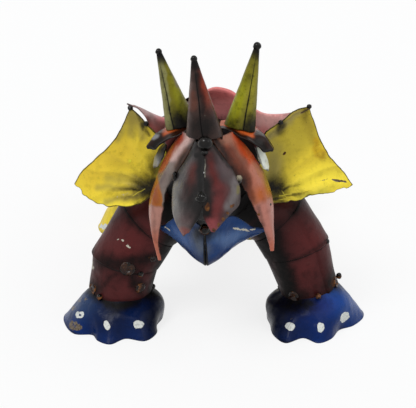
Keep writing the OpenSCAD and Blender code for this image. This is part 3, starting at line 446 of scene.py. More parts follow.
def spot_on(grids, x, y):
    """Point and outward way of the surface that the photograph shows at a pixel."""
    best = None
    for g in grids:
        _, _, nrm = grid_ways(g, True)
        mid = g.reshape(-1, 3).mean(0)
        nrm = nrm * np.sign(np.sum(nrm * (g - mid), -1).sum())
        off = np.linalg.norm(seen(g) - vec(x, y), axis=-1) + 1e3 * (np.sum(nrm * (g - EYE), -1) > 0)
        k = np.unravel_index(np.argmin(off), off.shape)
        if best is None or off[k] < best[0]:
            best = (off[k], g[k], nrm[k])
    return best[1], best[2]


# Sizes shared with the CAD model

STATIONS = [(-98, 175, 22.5), (-40, 160, 36), (-10, 141, 41), (40, 114, 54), (108, 102, 59),
            (175, 99, 53), (262, 94, 42), (300, 84, 28), (336, 73, 16), (370, 68, 4)]
LEG_R = 28.4
CLEAR = 0.3
LEG_SPACING = 231.0
ANKLE_PITCH = 2.0


def sway(back):
    return -SWAY * max(back, 0) / RUMP_BACK


def station(i):
    return vec(sway(STATIONS[i][0]), STATIONS[i][0], STATIONS[i][1])


def station_way(i):
    return unit(station(i + 1) - station(i))


def seam_way(i):
    if i == 0:
        return station_way(0)
    if i == len(STATIONS) - 1:
        return station_way(i - 1)
    return unit(station_way(i - 1) + station_way(i))


def off_band(i, q):
    """How far points lie outside the round of body band i."""
    a, b = station(i), station(i + 1)
    axis, length = unit(b - a), np.linalg.norm(b - a)
    along = (q - a) @ axis
    off = np.linalg.norm(q - a - along[..., None] * axis, axis=-1)
    return off - (STATIONS[i][2] + (STATIONS[i + 1][2] - STATIONS[i][2]) / length * along)


def leg(y, *pairs):
    return [vec(sway(y) + x, y, z) for x, z in pairs]


# Middle line of each leg, slopes at knee and ankle, ankle radius, place of the lapped edge
LEGS = {
    "front_left": (leg(0, (0, 133), (-55.6, 93), (-76, 58.5), (-81.5, 31)), -13, -3, 27.0, 200),
    "front_right": (leg(0, (0, 133), (55.6, 99), (72.5, 71), (85, 33)), 18, 15, 25.4, 235),
    "hind_left": (leg(LEG_SPACING, (0, 108), (-62.4, 86), (-66, 58), (-66, 35)), -16, -8, 26.4, 20),
    "hind_right": (leg(LEG_SPACING, (0, 108), (62.4, 86), (66, 58), (66, 35)), 16, 8, 26.4, 160),
}


def knee_way(slope):
    s = math.radians(slope)
    return vec(math.sin(s), 0, -math.cos(s))


def ankle_way(slope):
    s, p = math.sin(math.radians(slope)), math.sin(math.radians(ANKLE_PITCH))
    return vec(s, -p, -math.sqrt(1 - s * s - p * p))


# Rolled tubes

UNEVEN = 0.25


def tube_grid(a, b, r_a, r_b, way_a, way_b, step=1.6, lap_at=None, seed=0, dents=0.35, start=None, lip=None):
    """Outer middle surface of a rolled tube or cone between two cutting planes."""
    axis = unit(b - a)
    length = np.linalg.norm(b - a)
    gain = (r_b - r_a) / length
    around = max(24, int(2 * math.pi * max(r_a, r_b) / step))
    ang = np.linspace(0, 2 * math.pi, around, endpoint=False)
    d = spokes(ang, axis)
    if start:
        s0 = start(a, axis, d, r_a, gain)
    else:
        s0 = (SEAM / 2 - r_a * (d @ way_a)) / (axis @ way_a + gain * (d @ way_a))
    s1 = (-SEAM / 2 + length * (axis @ way_b) - r_a * (d @ way_b)) / (axis @ way_b + gain * (d @ way_b))
    s0 = s0 + UNEVEN * noise(d * r_a + b * 0.1 + seed, 9, seed)
    s1 = s1 + UNEVEN * noise(d * r_a + seed, 7, seed + 5)
    if lip:
        s1 = s1 + lip(d)
    rows = max(4, int(np.mean(s1 - s0) / step))
    v = np.linspace(0, 1, rows + 1)[:, None]
    s = s0 + (s1 - s0) * v
    r = r_a + gain * s - TUBE / 2
    if lap_at is not None:
        r = r + TUBE * 0.95 * smooth((np.degrees(ang)[None] - lap_at) % 360, 300, 356)
    p = a + axis * s[..., None] + d[None] * r[..., None]
    dented = dents * rough(p, 26, seed + 9, 2) + 0.12 * noise(p, 7, seed + 10)
    return p + d[None] * dented[..., None], v


def edge_soot(coat, v, reach):
    """Soot along both ends of a tube, where it is welded to its neighbours."""
    n = 0.5 + 0.5 * noise(coat.p, 22, 77)
    coat.mark("soot", 0.8, np.maximum(1 - smooth(v, 0, reach), smooth(v, 0.8, 1)) * (0.25 + 0.75 * n))


MAROON, DARK_MAROON, RED_MAROON = (0.24, 0.10, 0.10), (0.14, 0.055, 0.06), (0.32, 0.12, 0.12)


def body_band(name, i):
    g, v = tube_grid(station(i), station(i + 1), STATIONS[i][2], STATIONS[i + 1][2], seam_way(i),
                     seam_way(i + 1), step=2.6, lap_at=0, seed=40 + i, dents=0.8)
    g = stand(g)
    c = Coat(g, MAROON, seed=i)
    c.mark(RED_MAROON, 0.7, smooth(noise(g, 55, 3), -0.2, 0.8))
    c.mark(DARK_MAROON, 0.6, smooth(noise(g, 30, 4), 0.1, 0.8))
    edge_soot(c, v, 0.20)
    c.wear += (0.10 * (0.5 + 0.5 * noise(g, 30, 8))
               + 0.16 * np.maximum(1 - smooth(v, 0, 0.05), smooth(v, 0.95, 1)))
    c.rust += 0.25 * smooth(noise(g, 16, 12), 0.35, 0.8)
    c.scratch += 0.16 * smooth(noise(g, 10, 13), 0.5, 0.9)
    if i < 3:
        # painted shade: the front of the neck and chest is painted black where the face shades it
        c.mark("soot", 1, 1 - smooth(g[..., 1], -150 + 20 * i, -100 + 20 * i))
        c.lay([("soot", 1, (54, 26), 0.4, (210, 205))])
    build_sheet(name + "_sheet", c, name, "maroon_sheet", TUBE, True)


for k, part_name in enumerate(("neck_band", "chest_band", "shoulder_band", "barrel_band", "loin_band",
                               "tail_root", "tail_middle", "tail_tip")):
    body_band(part_name, k + 1)

# The skull, a cone that turns with the head, painted near-black: soot, and painted shade inside the head
g, v = tube_grid(station(0), station(1), STATIONS[0][2], STATIONS[1][2], station_way(0), station_way(0),
                 step=2.0, seed=3)
c = Coat(on_head(g), (0.10, 0.07, 0.065))
c.mark("soot", 1, 0.8 + 0.2 * noise(c.p, 20, 5))
build_sheet("skull_cone", c, "skull", "sooty_sheet", TUBE, True)


# Legs

LEG_GRIDS = {}
LEG_MARKS = {
    "front_left": [
        # painted highlights on the upper outer side of the leg
        (RED_MAROON, 0.8, (22, 16), 0.9, (128, 246)),
        ((0.31, 0.15, 0.15), 0.7, 14, 0.9, (106, 238)),
        ((0.31, 0.13, 0.13), 0.6, (18, 10), 0.9, (118, 286)),
        ("soot", 0.8, 9, 0.95, (104, 262), (118, 264), (132, 262), (150, 258), (166, 256)),
        ("soot", 0.85, (16, 13), 0.95, (128, 268)),
        ("soot", 0.8, 7, 0.95, (128, 268), (134, 280), (140, 288)),
        ("soot", 0.6, 4, 0.95, (128, 270), (112, 277), (102, 286), (94, 290)),
        # soot, and painted shade, down the inner side of the leg
        ("soot", 0.95, 10, 0.95, (172, 236), (164, 262), (156, 290)),
        ("soot", 0.8, (11, 9), 0.95, (94, 288)),
        ("soot", 0.4, (12, 8), 0.98, (116, 281)),
        # painted shade under the frill, where the leg leaves the body
        ("soot", 1, (16, 20), 0.8, (172, 212)),
        ("rust", 0.45, 6, 0.5, (128, 268)),
        ("rust", 0.45, 4.2, 0.3, (152, 258)),
        ("rust", 0.45, 5, 0.3, (140, 288)),
        ("rust", 0.6, (5, 6), 0.4, (93, 289)),
        ("scratch", 0.75, 1.2, 0.5, (94, 262), (95, 268))],
    "front_right": [
        # painted highlight on the upper outer side of the leg
        (RED_MAROON, 0.7, (22, 14), 0.9, (312, 240)),
        ((0.33, 0.13, 0.13), 0.85, (16, 14), 0.9, (305, 272)),
        # soot, and painted shade, down the inner side of the leg
        ("soot", 0.95, 11, 0.95, (258, 226), (270, 246), (282, 262), (290, 294)),
        ("soot", 0.97, (17, 20), 0.9, (269, 246)),
        ("soot", 0.45, (14, 10), 0.98, (309, 276)),
        # painted shade under the frill, where the leg leaves the body
        ("soot", 1, (26, 20), 0.7, (242, 212)),
        ("soot", 0.9, (16, 10), 0.9, (293, 297)),
        ("soot", 0.8, (11, 12), 0.95, (334, 281)),
        ("soot", 0.6, 2.2, 0.9, (328, 241), (306, 253), (284, 263)),
        ("rust", 0.6, (5.5, 6.5), 0.4, (336, 282)),
        ("rust", 0.5, 6, 0.4, (293, 298))],
}
SPLIT_SCRATCH = ("scratch", 0.9, 0.85, 0.5, (112, 238), (119, 238.5), (125, 242), (131, 246))
SHIN_END = {"front_left": (0.84, 0.93), "front_right": (0.86, 0.94)}


def into_body(i):
    """Start of a tube where it leaves the round of body band i."""
    def start(o, way, d, r, g):
        s = np.linspace(0, 90, 361)
        p = o + way * s[:, None, None] + d[None] * (r + g * s)[:, None, None]
        outside = off_band(i, p) > CLEAR
        # last place along the tube that is still inside the body
        last = len(s) - 1 - np.argmax(~outside[::-1], axis=0)
        return s[np.minimum(last + 1, len(s) - 1)]
    return start


def toe_lip(d):
    """The front shins reach lower over the toes."""
    return 3.6 * smooth(d @ vec(0, -1, 0), 0.45, 1.0)


def dress_leg(key, body):
    pts, knee, ankle, ankle_r, lap = LEGS[key]
    prefix, side = key.split("_")
    front = prefix == "front"
    ways = [unit(pts[i + 1] - pts[i]) for i in range(3)]
    elbow, k, w = unit(ways[0] + ways[1]), knee_way(knee), ankle_way(ankle)
    seed = 100 + 10 * list(LEGS).index(key)
    grids = [
        tube_grid(pts[0], pts[1], LEG_R, LEG_R, ways[0], elbow, seed=seed, start=into_body(body), dents=0.6),
        tube_grid(pts[1], pts[2], LEG_R, LEG_R, elbow, k, seed=seed + 1, lap_at=lap, dents=0.6),
        tube_grid(pts[2], pts[3], LEG_R, ankle_r, k, w, seed=seed + 2, lap_at=lap, step=1.2, dents=0.5,
                  lip=toe_lip if front else None)]
    LEG_GRIDS[key] = [stand(g) for g, _ in grids]
    for n, (g, v) in zip(("shoulder" if front else "hip", "thigh", "shin"), grids):
        c = Coat(stand(g), MAROON, seed=seed)
        c.mark(RED_MAROON, 0.55, smooth(noise(c.p, 34, seed), -0.2, 0.8))
        c.mark(DARK_MAROON, 0.7, smooth(noise(c.p, 24, seed + 3), 0.1, 0.8))
        c.wear += 0.10 * (0.5 + 0.5 * noise(c.p, 22, seed + 8))
        c.scratch += 0.14 * smooth(noise(c.p, 12, seed + 6), 0.5, 0.9)
        edge_soot(c, v, 0.12 if n == "shin" else 0.22)
        c.mark("soot", 0.9, 1 - smooth(v, 0.005, 0.03))
        c.lay(LEG_MARKS.get(key, []))
        if key == "front_left":
            c.lay([SPLIT_SCRATCH], within=smooth(noise(c.p, 2.2, 411), -0.5, 0.0))
        if not front:
            c.rust += 0.2 * smooth(noise(c.p, 14, 44), 0.4, 0.8)
        elif n == "shin":
            c.mark((0.22, 0.05, 0.055), 0.9, smooth(v, *SHIN_END[key]))
            c.mark("soot", 0.5, smooth(v, 0.95, 1.0))
        full = "%s_%s_%s" % (prefix, n, side)
        build_sheet(full + "_tube", c, full, "maroon_sheet", TUBE, True)


for key in LEGS:
    dress_leg(key, 2 if key.startswith("front") else 5)


# Feet

FOOT_REACH, COLLAR_RISE, COLLAR_GAP = 50.0, 4.0, 0.6
CALM, BULGE = 0.86, 0.66
BLUE, YELLOW = (0.012, 0.145, 0.37), (0.87, 0.77, 0.22)
# a painted highlight blue for the lit outer side of a front foot, and a painted shade navy for its inner
# side
PAINTED_HIGHLIGHT_BLUE, PAINTED_SHADE_NAVY = (0.12, 0.27, 0.52), (0.03, 0.045, 0.11)
HEEL = [(185, 0.84), (212, 0.82), (240, 0.78)]
LEFT_FOOT = [(-95, 0.72), (-68, 0.68), (-48, 0.86), (-28, 0.97), (-9, 0.78), (7, 0.99), (22, 0.92),
             (37, 0.78), (53, 0.97), (76, 1.00), (100, 1.04), (130, 0.98), (160, 0.88)] + HEEL
RIGHT_FOOT = [(-95, 0.72), (-70, 0.72), (-46, 0.90), (-26, 1.04), (-11, 0.76), (6, 0.94), (24, 0.84),
              (49, 0.67), (72, 0.82), (95, 1.00), (113, 1.06), (135, 0.98), (160, 0.88)] + HEEL
HIND_FOOT = [(-95, 0.76), (-70, 0.80), (-46, 0.92), (-28, 0.88), (-12, 0.74), (4, 0.86), (20, 0.86),
             (36, 0.75), (54, 0.94), (76, 0.98), (100, 0.98), (130, 0.92), (160, 0.86)] + HEEL
FOOT_MARKS = {
    "front_left": [
        # painted highlight on the outer side
        ((0.17, 0.26, 0.40), 0.85, (20, 15), 0.9, (82, 302)),
        ((0.005, 0.05, 0.17), 0.95, (26, 24), 0.9, (114, 316)),
        # painted shade on the inner side
        (PAINTED_SHADE_NAVY, 0.95, (14, 34), 0.9, (154, 316)),
        ("soot", 0.95, (17, 12), 0.9, (146, 292)),
        ("soot", 0.8, (12, 9), 0.9, (92, 286)),
        ("soot", 0.9, 7, 0.9, (94, 291), (104, 299), (118, 306), (136, 301)),
        ("wear", 0.62, (7, 4), 0.5, (84, 300)),
        ("wear", 0.72, (11, 5), 0.5, (76, 326)),
        ("wear", 0.62, (7, 3), 0.5, (74, 308)),
        ("wear", 0.50, 4, 0.5, (127, 315)),
        ("daub", 1, (4.4, 4.0), 0.45, (80.5, 315.5)),
        ("daub", 1, (3.2, 4.8), 0.45, (107, 325.5)),
        ("daub", 1, (4.6, 5.0), 0.45, (139.4, 324.4)),
        ("daub", -0.9, 1.6, 0.3, (81.5, 315.5))],
    "front_right": [
        # painted highlight on the outer side
        (PAINTED_HIGHLIGHT_BLUE, 0.9, (32, 22), 0.9, (336, 298)),
        ((0.01, 0.10, 0.45), 0.75, (20, 11, -14), 0.95, (314, 307)),
        ((0.01, 0.10, 0.30), 0.85, (26, 14), 0.9, (318, 324)),
        # painted shade on the inner side
        (PAINTED_SHADE_NAVY, 0.95, (20, 34), 0.9, (276, 314)),
        ((0.16, 0.24, 0.42), 0.7, (14, 8), 0.9, (348, 284)),
        ("soot", 0.92, (24, 13), 0.9, (298, 303)),
        ("soot", 0.8, (10, 9), 0.9, (336, 284)),
        ("wear", 0.40, (8, 7), 0.5, (296, 318)),
        ("daub", 1, 4.6, 0.45, (289.4, 326.4)),
        ("daub", 1, (4.2, 4.8), 0.45, (320.2, 326.4)),
        ("daub", 1, (4.6, 4.8), 0.45, (344.4, 316.4))],
    "hind_left": [
        ("soot", 0.7, 3.6, 0.9, (114, 222), (120, 216)),
        ((0.66, 0.60, 0.30), 0.5, 5, 0.9, (103, 234)),
        ("daub", 1, (3.0, 2.9), 0.45, (104.5, 227))],
    "hind_right": [],
}


def foot_grid(key, shares, seed):
    pts, _, slope, ankle_r, _ = LEGS[key]
    side = -1 if key.endswith("left") else 1
    ankle, down = pts[3], ankle_way(slope)
    across = unit(np.cross(down, vec(0, 1, 0)))
    ahead = np.cross(down, across)
    collar = ankle_r - TUBE - COLLAR_GAP - PLATE / 2
    below = vec(ankle[0], ankle[1], 0)
    outline = np.array([FOOT_REACH * r * vec(side * math.sin(math.radians(t)), -math.cos(math.radians(t)), 0)
                        + below for t, r in shares])
    rows, n = 56, 320
    t = np.linspace(0, 1, n, endpoint=False)
    toe = ring_curve(outline, t if side > 0 else 1 - t)
    turn = np.arctan2(toe[:, 1] - ankle[1], toe[:, 0] - ankle[0])
    c, s = np.cos(turn)[:, None], np.sin(turn)[:, None]
    top = ankle - down * COLLAR_RISE + collar * (c * across - s * ahead)
    rim = top + down * COLLAR_RISE
    flat = np.concatenate([c, s, 0 * c], 1)
    calm = below + FOOT_REACH * CALM * flat
    belly = rim + (calm - rim) * 0.5 + unit(flat + vec(0, 0, 1)) * (BULGE - 0.5) * ankle[2]
    v = np.linspace(0, 1, rows + 1)
    g = np.stack([curve(np.stack([top[i], rim[i], belly[i], toe[i]]), v) for i in range(n)], 1)
    return stand(dent(g, True, 0.5, 16, seed)), v[:, None]


def dress_foot(key, shares, seed, base, slot):
    g, v = foot_grid(key, shares, seed)
    # hammered flats, calm at the toe edge
    flats = 0.9 * np.abs(noise(g, 15, seed + 7)) * smooth(v, 0.35, 0.6) * (1 - smooth(v, 0.8, 0.97))
    g = g - vec(0, 0, 1) * flats[..., None]
    g[..., 2] = np.maximum(g[..., 2], PLATE * RIM_BULGE * (v >= 1) + 0.02)
    c = Coat(g, base, seed=seed)
    c.mark(tuple(0.6 * x for x in base), 0.5, smooth(noise(g, 14, seed + 11), 0.0, 0.9))
    c.mark("soot", 0.95, (1 - smooth(v, 0.30, 0.60)) * (0.7 + 0.3 * noise(g, 20, seed)))
    c.wear += 0.20 * smooth(v, 0.90, 1.0) + 0.07 * (0.5 + 0.5 * noise(g, 25, seed + 2))
    c.mark("soot", 0.8, smooth(v, 0.93, 1.0) * (0.5 + 0.4 * noise(g, 10, seed + 4)))
    c.lay(FOOT_MARKS[key])
    prefix, side = key.split("_")
    if prefix == "hind":
        toe_dots(c, key)
    name = prefix + "_foot_" + side
    build_sheet(name + "_shell", c, name, slot, loop=True)


def toe_dots(c, key):
    """The same three daubs as on the front feet, on the toes of a hind foot."""
    side = -1 if key.endswith("left") else 1
    for t in (-48, -4, 44):
        a = math.radians(t)
        q = stand(LEGS[key][0][3] * vec(1, 1, 0)
                  + FOOT_REACH * 0.80 * vec(side * math.sin(a), -math.cos(a), 0))
        off = np.hypot(c.p[..., 0] - q[0], c.p[..., 1] - q[1]) + 1.4 * noise(c.p, 5, t)
        c.mark("daub", 1, 1 - smooth(off, 2.6, 5.4))


dress_foot("front_left", LEFT_FOOT, 201, BLUE, "blue_sheet")
dress_foot("front_right", RIGHT_FOOT, 202, BLUE, "blue_sheet")
dress_foot("hind_left", HIND_FOOT, 203, YELLOW, "yellow_sheet")
dress_foot("hind_right", HIND_FOOT, 204, YELLOW, "yellow_sheet")


# Face plates

BEAK_SIZE, BEAK_CORNER = vec(25, 38, 64.5), vec(0, -108, 134.5)
CHEEK_SIZE, CHEEK_CORNER = vec(50, 34, 108), vec(0, -104, 92.5)
# Outer and inner edge of each plate, in hundredths of its size
EDGES = {
    "beak_left": ([(-59, -79, 0), (-78, -68, 9), (-95, -45, 19), (-102, -18, 32),
                   (-100, -4, 47), (-86, -2, 62), (-62, -5, 77), (-33, 0, 100)],
                  [(-43, -89, 7), (-28, -97, 17), (-12, -100, 29), (-2, -99, 43),
                   (-1, -87, 58), (-1, -66, 74), (-3, -42, 87), (-5, -13, 99)]),
    "beak_right": ([(31, -79, 7), (56, -68, 17), (81, -47, 24), (100, -24, 30),
                    (99, -6, 46), (80, -2, 64), (50, -4, 81), (15, 0, 98)],
                   [(24, -89, 9), (14, -97, 18), (5, -100, 27), (2, -99, 43),
                    (1, -87, 58), (1, -66, 74), (-1, -42, 87), (-3, -13, 99)]),
    "cheek_left": ([(-81, 54, 0), (-86, 65, 16), (-93, 82, 29), (-94, 95, 42),
                    (-89, 100, 53), (-80, 98, 66), (-64, 83, 82), (-40, 56, 99)],
                   [(-77, 53, 0), (-80, 44, 16), (-75, 33, 31), (-69, 24, 45),
                    (-64, 13, 59), (-50, 0, 71), (-31, -3, 86), (-17, 3, 100)]),
    "cheek_right": ([(102, 54, 10), (102, 66, 20), (100, 84, 31), (98, 95, 45),
                     (91, 100, 57), (81, 98, 68), (59, 80, 85), (35, 56, 99.6)],
                    [(98, 53, 10), (90, 42, 24), (79, 32, 37), (68, 24, 49),
                     (56, 12, 62), (43, 1, 73), (24, -3, 87), (7, 3, 98)]),
}


def face_plate(name, n, base):
    """Coat of a curved plate on the face, and each point's share of the way in from its outer edge."""
    if name.startswith("beak"):
        size, corner, swell, end_share, nu, nv = BEAK_SIZE, BEAK_CORNER, 3.5, 0.4, 44, 110
        dents, ridge, ridge_share = 0.5, 0.0, 0.36
    else:
        size, corner, swell, end_share, nu, nv = CHEEK_SIZE, CHEEK_CORNER, 5, 0.1, 48, 160
        dents, ridge, ridge_share = 0.35, 1.8, 0.62
    sign = -1 if name.endswith("left") else 1
    outer, inner = (spread(s, size, corner) for s in EDGES[name])
    near, far = (outer, inner) if sign < 0 else (inner, outer)
    way = unit(vec(sign, -1, 0))
    g = patch(np.array([near[0], far[0]]), np.array([near[-1], far[-1]]), near, far, nu, nv,
              way * swell, end_share)
    v, u = np.linspace(0, 1, nv + 1)[:, None], np.linspace(0, 1, nu + 1)[None]
    out = u + 0 * v if sign < 0 else 1 - u + 0 * v
    fold = np.where(out < ridge_share, out / ridge_share, np.clip(2 - out / ridge_share, 0, 1))
    g = g + way * (ridge * fold * np.sin(math.pi * v) ** 0.7)[..., None]
    g = ragged(dent(g, False, dents, 13, 300 + n), 0.5, 340 + n, low=0.6, high=0.2, first=1, last=1)
    return Coat(on_head(g), base, seed=n), out


c, _ = face_plate("beak_left", 1, (0.16, 0.135, 0.135))
# the first mark, a pale grey band along the lower left edge, is a painted highlight
c.lay([((0.42, 0.41, 0.40), 0.95, 5.5, 0.95, (176, 184), (174, 200), (177, 214), (183, 226)),
       ((0.27, 0.25, 0.25), 0.8, 5, 0.9, (190, 160), (180, 176)),
       ((0.29, 0.11, 0.09), 0.8, 5.5, 0.9, (194, 168), (192, 184), (188, 196)),
       ((0.30, 0.23, 0.23), 0.9, (7, 11), 0.95, (185, 221)),
       ((0.44, 0.24, 0.22), 0.95, (9, 4.5), 0.6, (182, 233)),
       ("soot", 0.95, 5.5, 0.95, (203, 150), (203, 190), (201, 215), (198, 226)),
       ("soot", 0.8, 2.6, 0.9, (198, 144), (184, 164), (173, 182)),
       ("soot", 0.9, (15, 17), 0.98, (196, 198)),
       ("soot", 0.5, (8, 14, -14), 0.98, (188, 186)),
       ("soot", 1, (3.6, 3), 0.5, (198, 154.5)),
       ("wear", 0.35, (8, 3), 0.5, (181, 235)),
       ("wear", 0.45, 1.2, 0.5, (168, 207), (171, 220), (176, 229))])
build_sheet("beak_plate_left", c, "beak_left", "gunmetal_sheet", bare=0.7)

c, _ = face_plate("beak_right", 2, (0.19, 0.13, 0.13))
c.lay([((0.31, 0.075, 0.06), 0.9, 4.6, 0.98, (209, 160), (211, 172), (214, 184)),
       ((0.30, 0.10, 0.08), 0.35, 1.6, 0.95, (197, 157), (204, 154), (210, 156)),
       ((0.36, 0.14, 0.14), 0.95, 7, 0.98, (220, 190), (218, 206), (211, 221)),
       ((0.30, 0.24, 0.25), 0.85, (9, 12, -35), 0.9, (226, 170)),
       ((0.40, 0.37, 0.37), 0.9, 3.6, 0.95, (234, 182), (233, 196), (228, 208)),
       ((0.52, 0.24, 0.25), 0.9, 7, 0.9, (211, 225)),
       ((0.45, 0.42, 0.14), 0.6, 1.6, 0.9, (236, 186), (236, 192)),
       ("soot", 0.7, 3.0, 0.95, (204, 150), (204, 170)),
       ("soot", 0.95, 6.6, 0.98, (204, 182), (206, 202), (206, 214)),
       ("soot", 0.8, 2.6, 0.9, (210, 142), (223, 158), (235, 174)),
       ("scratch", 0.7, 0.7, 0.5, (203.6, 160), (203.8, 176)),
       ("rust", 0.75, (3, 5), 0.5, (207, 207))])
c.lay([("rust", 0.8, 1.8, 0.4, place) for place in ((223, 219.5), (214, 229), (209, 230.5), (232, 207),
                                                    (228, 214), (219, 224))])
c.lay([("soot", 0.7, 3.4, 0.98, (214, 176), (218, 186), (228, 190))], smooth(noise(c.p, 9, 305), -0.6, 0.5))
c.lay([("soot", 0.8, (11, 22, -8), 0.9, (211, 178))], smooth(noise(c.p, 8, 306), -0.3, 0.7))
build_sheet("beak_plate_right", c, "beak_right", "rose_sheet", bare=0.7)

c, out = face_plate("cheek_left", 3, (0.40, 0.34, 0.32))
x, y = c.xy[..., 0], c.xy[..., 1]
band = 1 - smooth(x - 160.2 - 0.12 * (y - 185), -0.9, 0.9)
low = smooth(y, 203, 207)
c.lay([((0.76, 0.63, 0.60), 0.95, 4, 0.9, (190, 136), (181, 146), (174, 158)),
       ((0.42, 0.25, 0.18), 0.7, 4, 0.9, (188, 152), (180, 168))])
c.lay([((0.58, 0.20, 0.10), 0.97, 6.5, 0.5, (178, 138), (169, 150), (162, 166))],
      1 - 0.85 * smooth(out, 0.45, 0.6))
c.mark((0.62, 0.36, 0.10), 0.95, band * (1 - low) * smooth(y, 160, 172))
c.lay([((0.50, 0.22, 0.08), 0.8, (4, 12), 0.9, (155, 192))], band * (1 - low))
c.lay([((0.50, 0.45, 0.42), 0.8, 4, 0.8, (172, 168), (166, 186), (164, 202))], 1 - band)
c.lay([((0.28, 0.20, 0.15), 0.7, 3.4, 0.9, (185, 158), (178, 172), (172, 188)),
       ("soot", 0.35, 2.2, 0.95, (153, 206), (154, 222), (157, 240)),
       ("soot", 0.65, 3.2, 0.98, (197, 140), (186, 156), (176, 174), (170, 190)),
       ("soot", 0.75, (6, 12), 0.95, (172, 184)),
       ("soot", 0.7, 2.6, 0.95, (170, 192), (170, 206), (168, 216)),
       ("rust", 0.3, (6, 5), 0.5, (166, 160))])
c.lay([("soot", 0.35, 3, 0.95, (158, 168), (155, 180))], band)
c.mark((0.64, 0.45, 0.40), 0.95, low)
c.mark((0.66, 0.36, 0.27), 0.8, smooth(y, 222, 240))
c.wear += 0.30 * (1 - smooth(out, 0, 0.06)) * smooth(y, 200, 230)
build_sheet("cheek_plate_left", c, "cheek_left", "orange_sheet", bare=0.55)

c, out = face_plate("cheek_right", 4, (0.58, 0.36, 0.28))
x, y = c.xy[..., 0], c.xy[..., 1]
low = smooth(y + 0.35 * (x - 262), 199, 204)
c.lay([((0.62, 0.42, 0.34), 0.8, 5.5, 0.9, (221, 134), (229, 146), (238, 158)),
       ((0.70, 0.25, 0.10), 0.95, 5.6, 0.7, (238, 136), (246, 150), (252, 164)),
       ((0.62, 0.25, 0.13), 0.7, 4, 0.9, (226, 148), (238, 168)),
       ((0.36, 0.17, 0.11), 0.9, 6.5, 0.8, (230, 150), (239, 164), (246, 180), (251, 196)),
       ((0.66, 0.40, 0.32), 0.92, 5.6, 0.45, (253, 168), (257, 182), (261, 196)),
       ((0.50, 0.40, 0.12), 0.9, 3.6, 0.8, (262, 166), (267, 180), (270, 190)),
       ("soot", 0.5, 2.6, 0.98, (257, 206), (262, 222), (266, 240)),
       ("soot", 0.8, 4.8, 0.98, (213, 138), (225, 154), (236, 172), (242, 190)),
       ("soot", 0.8, (6, 12, -15), 0.95, (241, 182)),
       ("soot", 0.7, 2.4, 0.95, (244, 194), (250, 206), (256, 220)),
       ("soot", 0.45, 3, 0.95, (250, 140), (260, 160)),
       ("soot", 1, 1.1, 0.3, (269.5, 205)),
       ("rust", 0.7, 1.6, 0.4, (258, 214.5)),
       ("rust", 0.35, (4, 12, -30), 0.5, (234, 160))])
c.lay([((0.64, 0.32, 0.11), 0.85, 8, 0.8, (263, 194))], 1 - low)
c.mark((0.66, 0.43, 0.38), 0.95, low)
c.mark((0.68, 0.36, 0.27), 0.85, smooth(y, 234, 250))
c.wear += 0.35 * (1 - smooth(out, 0, 0.05)) * smooth(y, 190, 220)
build_sheet("cheek_plate_right", c, "cheek_right", "salmon_sheet", bare=0.55)

JAW_SIZE, JAW_CORNER = vec(40, 58, 38), vec(0, -128, 99.5)
JAW_FOLD = [(0, 0, 97), (0, 5, 62), (0, 13, 28), (0, 25, 4), (0, 45, -2),
            (0, 68, 2), (0, 90, 6)]
JAW_RIM = [(8, 2, 104), (28, 20, 108), (50, 39, 103), (70, 54, 82),
           (86, 66, 64)]
JAW_BACK = [(0, 90, 6), (38, 92, 10), (74, 90, 26)]
JAW_END = {-1: (110, 75.5, 60), 1: (119, 71.8, 60)}

for side, word in SIDES:
    corner = JAW_CORNER + vec(side * (SEAM + PLATE) / 2, 0, 0)
    fold, lip, back = (spread(s, JAW_SIZE * vec(side, 1, 1), corner)
                       for s in (JAW_FOLD, JAW_RIM + [JAW_END[side]], JAW_BACK + [JAW_END[side]]))
    low, high = (fold, lip) if side > 0 else (lip, fold)
    g = patch(low, high, np.array([low[0], high[0]]), back[::side], 90, 56,
              unit(vec(side, -0.6, -0.8)) * 4, 0)
    g = ragged(dent(g, False, 0.5, 14, 310 + side), 0.35, 315 + side, low=float(side < 0),
               high=float(side > 0))
    c = Coat(on_head(g), (0.05, 0.19, 0.38), seed=5)
    v = np.linspace(0, 1, g.shape[0])[:, None]
    from_fold = v if side > 0 else 1 - v
    # the first two lighter blue marks are painted highlights
    c.lay([((0.24, 0.35, 0.53), 0.8, (15, 7, 35), 0.9, (178, 238)),
           ((0.27, 0.38, 0.55), 0.8, 6, 0.95, (214, 236), (226, 240), (240, 234)),
           ((0.33, 0.36, 0.40), 0.75, 6, 0.95, (198, 236), (203, 248)),
           ((0.03, 0.08, 0.22), 0.9, 5, 0.9, (168, 240), (186, 254), (207, 268)),
           ((0.03, 0.10, 0.28), 0.9, 5, 0.9, (207, 268), (226, 256), (248, 242)),
           ("soot", 0.95, (11, 8), 0.95, (206, 232)),
           ("rust", 0.7, 4.5, 0.4, (205, 232)),
           ("scratch", 0.9, 1.0, 0.5, (233, 227), (240, 229.5), (248, 230)),
           ("scratch", 0.9, 0.9, 0.5, (250, 228), (255, 227)),
           ("scratch", 0.8, 0.9, 0.5, (164, 226), (169, 230))])
    c.mark("soot", 1, 1 - smooth(from_fold, 0.0, 0.05))
    c.lay([("soot", 0.35, (9, 12), 0.9, (207, 262))], 1 - smooth(from_fold, 0.0, 0.3))
    c.scratch += 0.22 * smooth(noise(c.p, 6, 17), 0.35, 0.8)
    build_sheet("jaw_plate_" + word, c, "jaw_" + word, "blue_sheet", bare=0.5)


# Brows and eyes

BROW_R, BROW_OUT, BROW_HEIGHT, BROW_LEN, BROW_FORWARD = 52.0, 11.0, 150.0, 34.0, 70.0
BROW_FRONT = [0.30, 0.42, 0.50, 0.50, 0.44, 0.30]
BROW_BACK = [0.30, 0.40, 0.42, 0.36, 0.22, -0.10]
BROW_TURNS = (94.0, 42.0)


def brow_point(side, turn, y, r):
    a = np.radians(turn)
    return np.stack([side * (BROW_OUT + r * np.cos(a)), -BROW_FORWARD + y, BROW_HEIGHT + r * np.sin(a)], -1)


